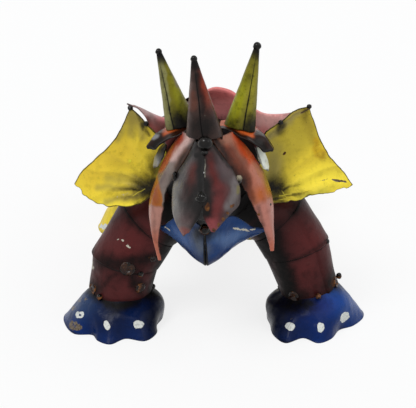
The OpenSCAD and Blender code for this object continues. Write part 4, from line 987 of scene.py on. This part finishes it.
for side, word in SIDES:
    t = np.linspace(0, 1, 91)[::side]
    front = -BROW_LEN * curve(np.array(BROW_FRONT)[:, None], t)[:, 0]
    back = BROW_LEN * curve(np.array(BROW_BACK)[:, None], t)[:, 0]
    turn = BROW_TURNS[0] + (BROW_TURNS[1] - BROW_TURNS[0]) * t
    v = np.linspace(0, 1, 45)[:, None]
    y = front + (back - front) * v
    # the front edge is rolled down, most of all at the outer end
    w = smooth(1 - v, 0.60, 1.0)
    drop = (3.0 * smooth(t, 0.12, 0.4) + 3.0 * smooth(t, 0.5, 0.75)) * (1 - 0.8 * smooth(t, 0.88, 1.0))
    arch = 2.0 * np.exp(-((t - 0.74) / 0.14) ** 2)
    r = BROW_R - PLATE / 2 + arch[None] * smooth(1 - v, 0.0, 0.5) - drop[None] * w ** 1.4
    g = brow_point(side, turn[None] + 0 * y, y, r)
    g = on_head(ragged(dent(g, False, 0.5, 11, 320 + side), 0.5, 325 + side, low=1, high=1))
    c = Coat(g, (0.70, 0.32, 0.13), seed=6)
    # dark brown at the outer curl and on the rolled-down front edge: dark metal, and painted shade under and
    # inside the curl
    c.mark((0.050, 0.020, 0.011), 0.98, smooth(t + 0.08 * noise(g, 8, 71), 0.58, 0.66))
    c.mark((0.035, 0.016, 0.011), 0.97, smooth(1 - v + 0.08 * noise(g, 7, 72), 0.76, 0.88))
    # painted highlight on the curl of the left brow
    c.lay([((0.50, 0.50, 0.51), 0.95, (5.5, 3.2, -20), 0.4, (154, 137.5))])
    build_sheet("brow_plate_" + word, c, "brow_" + word, "orange_sheet", bare=0.6)

EYE_R, EYE_HEIGHT, EYE_OUT, EYE_FORWARD, EYE_DISH = 11.0, 173.5, 40.2, 64.0, 2.2
EYE_LOOK = {-1: unit(vec(-0.86, -0.20, 0.46)), 1: unit(vec(0.90, -0.14, 0.42))}
# both eyes are white paint; the left one is painted grey as painted shade
EYE_PAINT_AND_SHADE = {-1: (0.33, 0.32, 0.30), 1: (0.86, 0.88, 0.84)}
SNIPS = 7

for side, word in SIDES:
    way = EYE_LOOK[side]
    ang = np.linspace(0, 2 * math.pi, 120, endpoint=False)
    rr = np.linspace(0.6, EYE_R, 26)[:, None]
    # a disc cut with a few straight snips
    snip = 1 / np.maximum(np.cos((ang * SNIPS / (2 * math.pi) % 1 - 0.5) * 2 * math.pi / SNIPS), 0.6)
    rad = rr * (1 + (0.93 * snip[None] - 1 + 0.05 * np.sin(3 * ang + 1)[None]) * rr / EYE_R)
    facets = 0.9 * np.abs(noise(np.stack([rad * np.cos(ang), rad * np.sin(ang), 0 * rad + side], -1), 7, 74))
    dish = PLATE / 2 + EYE_DISH * (1 - (rr / EYE_R) ** 2) - facets
    g = (vec(side * EYE_OUT, -EYE_FORWARD, EYE_HEIGHT) + rad[..., None] * spokes(ang, way)[None]
         + (dish + 0 * rad)[..., None] * way)
    g = on_head(g)
    c = Coat(g, EYE_PAINT_AND_SHADE[side], seed=7)
    c.mark("soot", 0.7, smooth(rr / EYE_R + 0.15 * noise(g, 5, 9), 0.88, 1.0))
    c.mark("soot", 0.5, smooth(noise(g, 6, 10), 0.3, 0.8))
    c.scratch += 0.25
    if side < 0:
        # the left eye is darker at its upper part and paler lower down
        c.lay([("soot", 0.85, (5, 9, 20), 0.9, (161, 150)),
               ((0.62, 0.62, 0.60), 0.8, (3.5, 7, 20), 0.8, (155, 160))])
    build_sheet("eye_disc_" + word, c, "eye_" + word, "pale_disc", loop=True)


# Horns

HORN_TIP_R, HORN_SLIT = 1.9, 3.0
NOSE_RIM_HEIGHT, NOSE_RIM_SLOPE = 203.2, 1.4


def horn_turn(lean, tilt):
    """A turn about X, then about Y, as in the CAD model."""
    a, b = math.radians(lean), math.radians(tilt)
    about_x = [[1, 0, 0], [0, math.cos(a), -math.sin(a)], [0, math.sin(a), math.cos(a)]]
    about_y = [[math.cos(b), 0, math.sin(b)], [0, 1, 0], [-math.sin(b), 0, math.cos(b)]]
    return np.array(about_y) @ np.array(about_x)


def flat_round(ang):
    return np.stack([np.cos(ang), np.sin(ang), 0 * ang], -1)


def horn_grid(foot, turn, length, r, slit_at, inside, seed):
    """Cone from its foot to its tip, open along a slit, cut where inside(points) says."""
    def radius(s):
        return r + (HORN_TIP_R - r) * np.clip(s, 0, None) / length

    up = vec(0, 0, 1)
    ang = np.radians(np.linspace(slit_at + HORN_SLIT / 2, slit_at + 360 - HORN_SLIT / 2, 74))
    s = np.linspace(-r, length, 600)
    cut = inside((s[:, None, None] * up + flat_round(ang)[None] * radius(s)[:, None, None]) @ turn.T + foot)
    first = len(s) - np.argmax(cut[::-1], axis=0)
    s0 = s[np.where(cut.any(0), np.minimum(first, len(s) - 1), 0)]
    v = np.linspace(0, 1, 75)[:, None]
    sv = s0 + (length - s0) * v
    rv = radius(sv) - PLATE / 2
    # the sheet's two edges are pressed in a little where they meet
    gap = np.minimum(np.degrees(ang) - slit_at, slit_at + 360 - np.degrees(ang))
    rv = rv - (0.9 * rv / r + 0.1) * (1 - smooth(gap, 2, 26))[None] * 1.1
    along = np.stack([sv * 0 + seed, sv, sv * 0], -1)
    wander = 2.2 * noise(along, 16, seed) * np.exp(-(gap / 50) ** 2)[None]
    out = flat_round(ang[None] + np.radians(wander))
    p = sv[..., None] * up + out * rv[..., None]
    p = p + out * (0.3 * rough(p, 12, seed))[..., None] * (rv / r)[..., None]
    return p @ turn.T + foot, v, gap


def in_skull(q):
    return off_band(0, q) < CLEAR


def under_nose_horn(q):
    """The skull, or in front of it the tops of the beak and cheek plates that the horn stands on."""
    return in_skull(q) | (q[..., 2] < NOSE_RIM_HEIGHT - NOSE_RIM_SLOPE * np.maximum(q[..., 1] + 101, 0))


def in_brow(side):
    def inside(q):
        return np.hypot(q[..., 0] - side * BROW_OUT, q[..., 2] - BROW_HEIGHT) < BROW_R + CLEAR
    return inside


def bead_part(centre, r, seed, squash, lump):
    """Points and faces of a lumpy ball of weld metal."""
    rows, n = 26, 52
    th = np.linspace(0.02, math.pi - 0.02, rows)[:, None]
    ph = np.linspace(0, 2 * math.pi, n, endpoint=False)[None]
    d = np.stack([np.sin(th) * np.cos(ph), np.sin(th) * np.sin(ph), np.cos(th) + 0 * ph], -1)
    rr = r * (1 + lump * rough(d * 3 + seed, 2.2, seed, 3))
    p = centre + d * rr[..., None] * vec(*squash)
    idx = np.arange(rows * n).reshape(rows, n)
    right = np.roll(idx, -1, 1)
    quads = np.stack([idx[:-1], idx[1:], right[1:], right[:-1]], -1).reshape(-1, 4)
    pole = vec(0, 0, r * squash[2])
    k = rows * n
    top = np.stack([np.full(n, k), idx[0], right[0]], -1)
    low = np.stack([np.full(n, k + 1), right[-1], idx[-1]], -1)
    return np.vstack([p.reshape(-1, 3), centre + pole, centre - pole]), [quads, top, low]


def crater_part(centre, way, r, seed):
    """Points and faces of a low ring of weld metal with a hollow in its middle, closed beneath."""
    n = 56
    across = np.array([0.04, 0.25, 0.42, 0.58, 0.74, 0.88, 1.0, 1.08, 1.0, 0.5, 0.04])
    height = np.array([0.04, 0.04, 0.06, 0.14, 0.20, 0.16, 0.08, -0.04, -0.12, -0.16, -0.16])
    ring = spokes(np.linspace(0, 2 * math.pi, n, endpoint=False), way)
    p = np.array([centre + ring * r * a + way * r * h for a, h in zip(across, height)])
    p = p + 0.07 * r * rough(p, r * 0.5, seed, 2)[..., None] * way
    p = p + (0.12 * r * noise(p, r * 0.8, seed + 3) * (across > 0.3)[:, None])[..., None] * ring
    idx = np.arange(len(across) * n).reshape(-1, n)
    right = np.roll(idx, -1, 1)
    faces = [np.stack([idx[:-1], right[:-1], right[1:], idx[1:]], -1).reshape(-1, 4)]
    # the two small holes in the middle are closed by fans of quads to their first point
    for row in (idx[0][::-1], idx[-1]):
        k = np.arange(1, n - 2, 2)
        faces.append(np.stack([np.full(len(k), row[0]), row[k], row[k + 1], row[k + 2]], -1))
    return p.reshape(-1, 3), faces


def build_beads(name, beads, nodes, lump=0.16, craters=()):
    """One object of lumpy beads (centre, radius, squash, rust) and craters (centre, way, radius, rust)."""
    parts = []
    for n, (centre, r, squash, rust) in enumerate(beads):
        pts, faces = bead_part(centre, r, 11 * n + 3, squash, lump)
        c = Coat(pts, (0.03, 0.024, 0.021))
        c.lay([((0.60, 0.56, 0.48), 0.85, (4, 3.4), 0.9, (238.5, 176))])
        c.mark((0.14, 0.12, 0.10), 0.5, smooth(noise(pts, 3.0, n), 0.1, 0.7))
        c.rust += rust * smooth(noise(pts, 3.5, n + 4), -0.3, 0.5)
        parts.append((c, pts, faces, slice(None)))
    for n, (centre, way, r, rust) in enumerate(craters):
        pts, faces = crater_part(centre, way, r, 7 * n + 5)
        c = Coat(pts, (0.13, 0.065, 0.05))
        c.rust += rust * smooth(noise(pts, 3.0, n + 9), -0.4, 0.5)
        c.mark("soot", 0.7, smooth(noise(pts, 4.0, n + 19), 0.0, 0.7))
        parts.append((c, pts, faces, slice(None)))
    build(name, parts, nodes, "weld_steel")


def dress_horn(name, foot, lean, tilt, length, r, slit_at, inside, base, ball, paints, seed, slot):
    turn = horn_turn(lean, tilt)
    g, v, gap = horn_grid(foot, turn, length, r, slit_at, inside, seed)
    g = on_head(g)
    c = Coat(g, base, seed=seed)
    c.mark("soot", 1, smooth(v + 0.03 * noise(g, 6, seed + 3), 0.74, 0.97))
    # soot, and painted shade, along the slit where the sheet's edges meet
    c.mark("soot", 1, np.exp(-(gap / 6.0) ** 2)[None])
    c.mark("soot", 0.6, np.exp(-(gap / 24.0) ** 2)[None] * (0.5 + 0.5 * noise(g, 12, seed)))
    c.mark("soot", 0.7, (1 - smooth(v, 0.0, 0.30)) * (0.75 + 0.25 * noise(g, 12, seed + 1)))
    paints(c, c.xy[..., 0], c.xy[..., 1])
    build_sheet(name + "_cone", c, name, slot)
    build_beads(name + "_tip", [(on_head(turn @ vec(0, 0, length) + foot), ball, (1, 1, 1), 0.15)], [],
                lump=0.05)


def nose_paint(c, x, y):
    right = smooth(x - 199 - (y - 72) * 0.07, -2, 3)
    c.mark((0.52, 0.18, 0.09), 0.95, right * (1 - smooth(y, 84, 122)))
    c.lay([((0.44, 0.14, 0.07), 0.7, (3.4, 15, -14), 0.95, (210, 90)),
           ("soot", 0.45, 2.6, 0.95, (207, 80), (215, 104), (222, 126))], within=right)
    c.lay([((0.42, 0.34, 0.32), 0.85, 3, 0.95, (190, 84), (187, 108), (186, 128)),
           ((0.36, 0.20, 0.15), 0.7, 2.4, 0.95, (194, 92), (193, 108)),
           ((0.34, 0.23, 0.21), 0.85, 2.6, 0.95, (217, 108), (220, 128)),
           ("soot", 0.92, (15, 16), 0.98, (203, 126)),
           ("soot", 0.75, 3.6, 0.95, (198, 74), (202, 100), (202, 124)),
           ("scratch", 0.45, (1.6, 2.6), 0.5, (204, 116))])


def lime_left_paint(c, x, y):
    c.mark((0.50, 0.49, 0.31), 0.9, smooth(167 + (y - 76) * 0.16 - x, 0, 2))
    # the first mark, a brighter lime streak, is a painted highlight
    c.lay([((0.54, 0.53, 0.12), 0.8, (4, 16, -16), 0.95, (177, 94)),
           ((0.44, 0.40, 0.34), 0.7, 1.8, 0.9, (172, 74), (177, 86))])
    c.mark("soot", 0.95, smooth(y, 88, 124) * smooth(x, 164, 178))


def lime_right_paint(c, x, y):
    # the first two marks, brighter lime streaks, are painted highlights
    c.lay([((0.62, 0.62, 0.12), 0.85, (7, 24, 22), 0.95, (236, 104)),
           ((0.55, 0.52, 0.16), 0.8, (4, 22, 8), 0.9, (250, 92)),
           ("soot", 0.45, (3, 9, 15), 0.9, (248, 78))])
    c.mark("soot", 0.9, smooth(y, 104, 127) * smooth(x + 0.3 * (y - 120), 236, 250))


NOSE_FOOT = vec(-2, -104, 175 + 22.5 + 4 * PLATE)
BROW_FOOT_TURN = math.degrees(math.acos((23 - BROW_OUT) / BROW_R))
dress_horn("nose_horn", NOSE_FOOT, 9, -6.5, 62, 14, -90, under_nose_horn, (0.25, 0.18, 0.16), 2.5,
           nose_paint, 401, "orange_sheet")
for side, word, length, tilt, ball, slit, paints in (
        (-1, "left", 63, 14.5, 2.5, -115, lime_left_paint),
        (1, "right", 68, 11, 3.1, -75, lime_right_paint)):
    foot = brow_point(side, np.array(BROW_FOOT_TURN), np.array(0.0), np.array(BROW_R))
    dress_horn("brow_horn_" + word, foot, 10, side * tilt, length, 12.3, slit, in_brow(side),
               (0.44, 0.415, 0.10), ball, paints, 402 + side, "lime_sheet")


# Frill

FRILL_SIZE, FRILL_CORNER = vec(80, 31, 87), vec(36, -51, 120)
# Low, high, near and far edge of each plate, in hundredths of its size
FRILL = {
    "left": ([(17, 3, 18), (34, 20, 6), (50, 36, 3), (64, 54, 0),
              (83, 75, 4), (100, 93, 18)],
             [(15, 1, 81), (22, 10, 87), (29, 17, 93), (38, 28, 100)],
             [(17, 3, 18), (3, 12, 32), (0, 16, 48), (4, 12, 65), (15, 1, 81)],
             [(100, 93, 18), (90, 80, 33), (72, 62, 50), (55, 45, 68),
              (44, 33, 87), (38, 28, 100)]),
    "right": ([(15, 0, 11), (36, 24, 9), (50, 38, 10), (62, 52, 12),
               (83, 75, 13), (100, 93, 18)],
              [(8, -4, 80), (22, 8, 88), (36, 24, 97), (51, 40, 100)],
              [(15, 0, 11), (3, 12, 30), (0, 16, 48), (1, 12, 65), (8, -4, 80)],
              [(100, 93, 18), (90, 82, 32), (74, 66, 50), (63, 54, 68),
               (57, 47, 84), (51, 40, 100)]),
}
# the second colour is a painted highlight yellow
YELLOW_DARK, PAINTED_HIGHLIGHT_YELLOW, SMOKE = (0.58, 0.51, 0.19), (0.92, 0.84, 0.26), (0.38, 0.36, 0.27)
PALE_LINE, PALE_LINE_RIGHT = (0.74, 0.70, 0.22), (0.74, 0.70, 0.24)


def frill_plate(word):
    side = -1 if word == "left" else 1
    size, corner = FRILL_SIZE * vec(side, 1, 1), FRILL_CORNER * vec(side, 1, 1)
    low, high, near, far = (spread(s, size, corner) for s in FRILL[word])
    if side < 0:
        near, far = far, near
    g = patch(low[::side], high[::side], near, far, 110, 120, vec(0, 5, 0))
    g = dent(g, False, 0.9, 19, 340 + side)
    # creases that run outwards from the inner lower corner
    rel = g - low[0]
    ang = np.arctan2(rel[..., 2], rel[..., 0] * side)
    dist = np.linalg.norm(rel, axis=-1)
    wave = 1 - 2 * np.abs(np.sin(ang * 6.5 + 1.6 * noise(g, 34, 51 + side)))
    wave = wave * smooth(dist, 6, 26) * (1 - smooth(dist, 52, 86))
    _, _, nrm = grid_ways(g, False)
    g = ragged(g + nrm * (0.9 * wave)[..., None], 1.7, 350 + side, low=1.0, high=0.15, first=0.25, last=0.25)
    return stand(g), ang


g, ang = frill_plate("left")
c = Coat(g, YELLOW, seed=8)
# the second mark is a painted highlight along the bottom
c.lay([((0.88, 0.75, 0.22), 0.7, 12, 0.95, (88, 176), (104, 160), (124, 150)),
       (PAINTED_HIGHLIGHT_YELLOW, 0.7, 4, 0.95, (100, 203), (122, 205), (140, 203))])
c.mark(YELLOW_DARK, 0.75, smooth(-c.xy[..., 1], -146, -112))
c.mark((0.66, 0.56, 0.15), 0.6, smooth(noise(g, 26, 62), 0.1, 0.9))
c.lay([("soot", 0.85, (23, 11, -8), 0.98, (143, 188))],
      0.55 + 0.45 * smooth(np.sin(ang * 17 + 3 * noise(g, 20, 61)), -0.2, 0.9))
c.lay([(SMOKE, 0.40, 4.2, 0.98, (130, 108), (132, 122), (131, 132)),
       (SMOKE, 0.4, 2.8, 0.98, (128, 112), (122, 126), (118, 140)),
       (SMOKE, 0.40, 3.6, 0.98, (137, 113), (142, 128), (144, 138)),
       ("soot", 0.6, 1.8, 0.98, (130, 105), (137, 112), (146, 126), (150, 134)),
       ("soot", 0.85, (4, 5), 0.9, (145, 124)),
       (SMOKE, 0.38, 4.6, 0.98, (152, 186), (138, 181), (122, 178), (108, 180)),
       (SMOKE, 0.42, 2.6, 0.98, (150, 190), (134, 188), (116, 188), (96, 187)),
       (SMOKE, 0.5, 2.8, 0.98, (150, 194), (134, 196), (118, 198), (106, 201)),
       ("soot", 0.97, (19, 17), 0.98, (152, 188)),
       ("soot", 0.8, (9, 20), 0.98, (157, 168)),
       ("soot", 0.6, 3, 0.9, (146, 199), (136, 204), (150, 200)),
       ("soot", -0.7, 0.32, 0.9, (134, 195), (142, 191), (147, 188.5)),
       (PALE_LINE, 0.8, 0.32, 0.9, (134, 195), (142, 191), (147, 188.5)),
       ((0.92, 0.90, 0.25), 0.95, 1.3, 0.4, (130.5, 161.5)),
       ("scratch", 0.4, 1.2, 0.5, (118, 196), (134, 193)),
       ("rust", 0.35, (2.0, 2.4), 0.5, (102, 152))])
c.scratch += 0.10 * smooth(noise(g, 6, 63), 0.4, 0.9)
build_sheet("frill_plate_left", c, "frill_left", "yellow_sheet", bare=0.8)

g, ang = frill_plate("right")
c = Coat(g, YELLOW, seed=9)
# the first mark is a painted highlight on the lower right
c.lay([(PAINTED_HIGHLIGHT_YELLOW, 0.85, 12, 0.95, (292, 192), (316, 180), (340, 176)),
       ((0.72, 0.68, 0.24), 0.7, 5, 0.95, (300, 200), (324, 193))])
# painted shade: the upper left of the plate, tilted away from the light, is painted darker
c.mark((0.66, 0.59, 0.19), 0.8,
       1 - smooth((c.xy[..., 0] - 276) * 0.80 + (c.xy[..., 1] - 190) * 0.60, -12, 10))
c.mark((0.66, 0.58, 0.16), 0.55, smooth(noise(g, 26, 67), 0.1, 0.9))
c.lay([("soot", 0.85, (20, 8, 8), 0.95, (286, 190))],
      0.4 + 0.6 * smooth(np.sin(ang * 15 + 3 * noise(g, 20, 66)), -0.2, 0.9))
c.lay([((0.60, 0.52, 0.16), 0.6, 5, 0.95, (304, 110), (310, 130), (313, 140)),
       ("soot", 0.97, (15, 14), 0.98, (274, 189)),
       (SMOKE, 0.6, (8, 22), 0.98, (273, 166)),
       ("soot", 0.85, (10, 5), 0.9, (277, 200)),
       ("soot", 0.35, 1.2, 0.95, (268, 136), (280, 124), (300, 112)),
       ("soot", 0.8, (6, 8), 0.95, (280, 125)),
       ("soot", 0.5, (4, 8), 0.95, (305, 112)),
       ((0.50, 0.46, 0.34), 0.6, 3, 0.9, (264, 140), (300, 112)),
       ("wear", 0.9, 1.5, 0.5, (332, 179.5), (339, 181.5), (346, 182)),
       ("wear", 0.7, 0.8, 0.5, (318, 181.5), (326, 179.5)),
       ("rust", 0.95, (2.6, 1.5, -35), 0.4, (283.5, 153))])
for line in ([(290, 193), (280, 196)], [(286, 199), (278, 201)], [(282, 191), (287, 197)]):
    c.lay([("soot", -0.7, 0.3, 0.9, *line), (PALE_LINE_RIGHT, 0.8, 0.3, 0.9, *line)])
scrawl = [(315, 139), (316, 145), (314, 147), (318, 153), (323, 156), (324, 151), (319, 148), (317, 152)]
c.lay([((0.74, 0.58, 0.08), 0.7, 2.6, 0.8, *scrawl), ("rust", 0.40, 0.7, 0.6, *scrawl)])
c.scratch += 0.10 * smooth(noise(g, 6, 68), 0.4, 0.9)
build_sheet("frill_plate_right", c, "frill_right", "yellow_sheet", bare=0.8)

CROWN_SIZE = vec(73, 45, 73)
CROWN_TOP = [(-94.5, -69, 95), (-82, -53, 88), (-61, -27, 73), (-50, -16, 70),
             (-31, 7, 74), (-18, 18, 88), (1, 26, 98), (20, 24, 94),
             (33, 14, 86), (47, 2, 76), (58, -9, 72), (71, -27, 75),
             (88, -49, 81), (105, -69, 89)]
CROWN_LEFT = [(-66, -40, 38), (-76, -72, 74)]
CROWN_RIGHT = [(66, -40, 38), (84, -62, 74)]


def neck_ring(turn, grow):
    way, a = seam_way(2), math.radians(turn)
    up = vec(0, -way[2], way[1])
    return station(2) + (STATIONS[2][2] + grow) * (math.sin(a) * vec(1, 0, 0) + math.cos(a) * up)


low = np.array([neck_ring(k * 100 / 3, 0.5 + PLATE) for k in range(-3, 4)])
high, left, right = (spread(s, CROWN_SIZE, station(2)) for s in (CROWN_TOP, CROWN_LEFT, CROWN_RIGHT))
g = patch(low, high, np.vstack([low[:1], left, high[:1]]), np.vstack([low[-1:], right, high[-1:]]),
          190, 50, vec(0, 0, 0))
# a light gap between the crown's left edge and the yellow plate
u, v = np.linspace(0, 1, 191)[None], np.linspace(0, 1, 51)[:, None]
notch = smooth(v, 0.35, 0.72) * (1 - smooth(v, 0.84, 1.0)) * (1 - smooth(u, 0.0, 0.14))
g = g + notch[..., None] * vec(2.3, 0, 2.9)
c = Coat(stand(ragged(dent(g, False, 0.9, 20, 345), 0.8, 346, low=0, high=1)), (0.82, 0.48, 0.47), seed=10)
# the first mark is painted shade under the lip at the top
c.lay([((0.76, 0.37, 0.37), 0.6, (14, 4), 0.95, (222, 94)),
       ((0.80, 0.52, 0.52), 0.7, 14, 0.95, (220, 118)),
       ((0.66, 0.55, 0.54), 0.95, 5, 0.95, (130, 104), (146, 114), (160, 122)),
       ((0.80, 0.46, 0.47), 0.7, (8, 6), 0.9, (162, 122)),
       ((0.90, 0.68, 0.66), 0.95, 7, 0.95, (258, 120), (276, 122), (296, 114)),
       ((0.42, 0.16, 0.17), 0.5, 2.4, 0.95, (284, 115), (300, 110)),
       ((0.30, 0.27, 0.12), 0.95, (8, 5), 0.7, (305, 110)),
       ("soot", 0.7, (6, 4), 0.9, (129, 105)),
       ("soot", 0.6, 5, 0.9, (145, 122)),
       ("soot", 0.5, (6, 5), 0.9, (282, 124))])
c.mark("soot", 0.8, 1 - smooth(v, 0, 0.3))
c.scratch += 0.16 * smooth(noise(c.p, 8, 75), 0.3, 0.9)
build_sheet("frill_crown_plate", c, "frill_crown", "rose_sheet", bare=0.5)


# Weld beads

ROUND = (1, 1, 1)


def on_beak(*share):
    return on_head(spread(share, BEAK_SIZE, BEAK_CORNER))


def joint_beads(point, way, r, turns):
    return [(stand(point + r * d), 2.6, ROUND, 0.9) for d in spokes(np.radians(turns), way)]


def ankle_beads(key):
    return joint_beads(LEGS[key][0][3], ankle_way(LEGS[key][2]), LEG_R, (20, 160, 250))


build_beads("nose_weld", [(on_beak(-2, -22, 102), 5.6, ROUND, 0.0)], ["horn_welds"], lump=0.06)
build_beads("face_weld", [
    (on_beak(-5, -92, 50), 4.2, ROUND, 0.1),
    (on_beak(-2, -36, 93), 2.2, (1.2, 1, 0.8), 0.0),
    (on_beak(-97, -2, 56), 2.6, (0.8, 1, 1.5), 0.5),
    (on_beak(98, 0, 55), 2.6, (1, 1, 1.2), 0.1)], ["face_welds"])
build_beads("jaw_weld", [(on_head(spread((0, 0, 97), JAW_SIZE, JAW_CORNER)), 4.0, (1.1, 1, 0.9), 0.7)],
            ["jaw_welds"])
build_beads("frill_weld", [
    (stand(spread(s, FRILL_SIZE, FRILL_CORNER) * vec(side, 1, 1)), 2.1, (1, 0.8, 1), 0.2)
    for side, word in SIDES[::-1] for s in (FRILL[word][1][1], FRILL[word][1][3], FRILL[word][2][2])],
    ["frill_welds"])
beads = []
for key in ("front_left", "front_right"):
    beads += ankle_beads(key) + joint_beads(LEGS[key][0][2], knee_way(LEGS[key][1]), LEG_R, (60, 200))
rings = []
for key, x, y, r, rust in (("front_left", 128, 268, 6.0, 0.5), ("front_left", 140, 287, 4.6, 0.6),
                           ("front_left", 152, 258, 3.0, 0.5), ("front_left", 94, 289, 4.0, 0.9),
                           ("front_right", 294, 296, 5.0, 0.5), ("front_right", 335, 282, 4.4, 1.0)):
    q, way = spot_on(LEG_GRIDS[key], x, y)
    rings.append((q + way * TUBE / 2, way, r, rust))
build_beads("front_leg_weld", beads, ["front_leg_welds"], craters=rings)
build_beads("hind_leg_weld", ankle_beads("hind_left") + ankle_beads("hind_right"), ["hind_leg_welds"])
beads = []
for i in range(2, 8):
    beads += joint_beads(station(i), seam_way(i), STATIONS[i][2], (30, 100, 190, 280))
beads.append((stand(station(9)), 4 + TUBE / 2, ROUND, 0.3))
build_beads("body_weld", beads, ["body_welds"])


# Floor, light and camera

FLOOR_WHITE, FLOOR_GLOW = (0.86, 0.86, 0.86, 1), 0.80
ROOM_COLOUR, ROOM_LIGHT = (0.95, 0.975, 1.0, 1), 0.52
FILM_WIDTH = 36.0


def ray_share(tree, *kinds):
    """One when the ray is of one of the kinds named."""
    path = add(tree, "LightPath", {})
    out = path.outputs[kinds[0]]
    for kind in kinds[1:]:
        out = add(tree, "Math", {0: out, 1: path.outputs[kind]}, operation="MAXIMUM").outputs[0]
    return out


bpy.ops.mesh.primitive_plane_add(size=24, location=(0, 0, 0))
floor = bpy.context.object
floor.name = "floor"
m = bpy.data.materials.new("floor_white")
m.use_nodes = True
t = m.node_tree
paper = t.nodes["Principled BSDF"]
paper.inputs["Base Color"].default_value = FLOOR_WHITE
paper.inputs["Roughness"].default_value = 0.9
paper.inputs["Specular IOR Level"].default_value = 0.1
share = add(t, "Math", {0: ray_share(t, "Is Camera Ray", "Is Glossy Ray"), 1: FLOOR_GLOW},
            operation="MULTIPLY").outputs[0]
blend = add(t, "MixShader", {0: share, 1: paper.outputs[0], 2: add(t, "Emission", {}).outputs[0]})
t.links.new(blend.outputs[0], t.nodes["Material Output"].inputs[0])
floor.data.materials.append(m)

world = bpy.data.worlds.new("studio")
bpy.context.scene.world = world
world.use_nodes = True
t = world.node_tree
t.nodes.clear()
room = add(t, "Background", {"Color": ROOM_COLOUR, "Strength": ROOM_LIGHT}).outputs[0]
white = add(t, "Background", {"Color": (1, 1, 1, 1), "Strength": 1.0}).outputs[0]
both = add(t, "MixShader", {0: ray_share(t, "Is Camera Ray", "Is Glossy Ray", "Is Transmission Ray"),
                            1: room, 2: white})
add(t, "OutputWorld", {0: both.outputs[0]})


def sun(name, coming_from, power, spread_deg):
    data = bpy.data.lights.new(name, "SUN")
    data.energy = power
    data.angle = math.radians(spread_deg)
    ob = bpy.data.objects.new(name, data)
    bpy.context.scene.collection.objects.link(ob)
    ob.rotation_euler = Vector(coming_from).to_track_quat("Z", "Y").to_euler()


sun("key", coming_from=(-0.45, -0.75, 1.0), power=1.6, spread_deg=26)
sun("fill", coming_from=(0.7, -0.6, 0.9), power=0.8, spread_deg=50)

cam = bpy.data.cameras.new("camera")
cam.sensor_width = FILM_WIDTH
cam.lens = FOCAL * FILM_WIDTH / WIDE
cam.clip_start, cam.clip_end = 0.01, 50
ob = bpy.data.objects.new("camera", cam)
bpy.context.scene.collection.objects.link(ob)
ob.location = tuple(EYE * MM)
ob.rotation_euler = (math.radians(90) - PITCH, 0, 0)
bpy.context.scene.camera = ob
bpy.context.scene.view_settings.view_transform = "Standard"
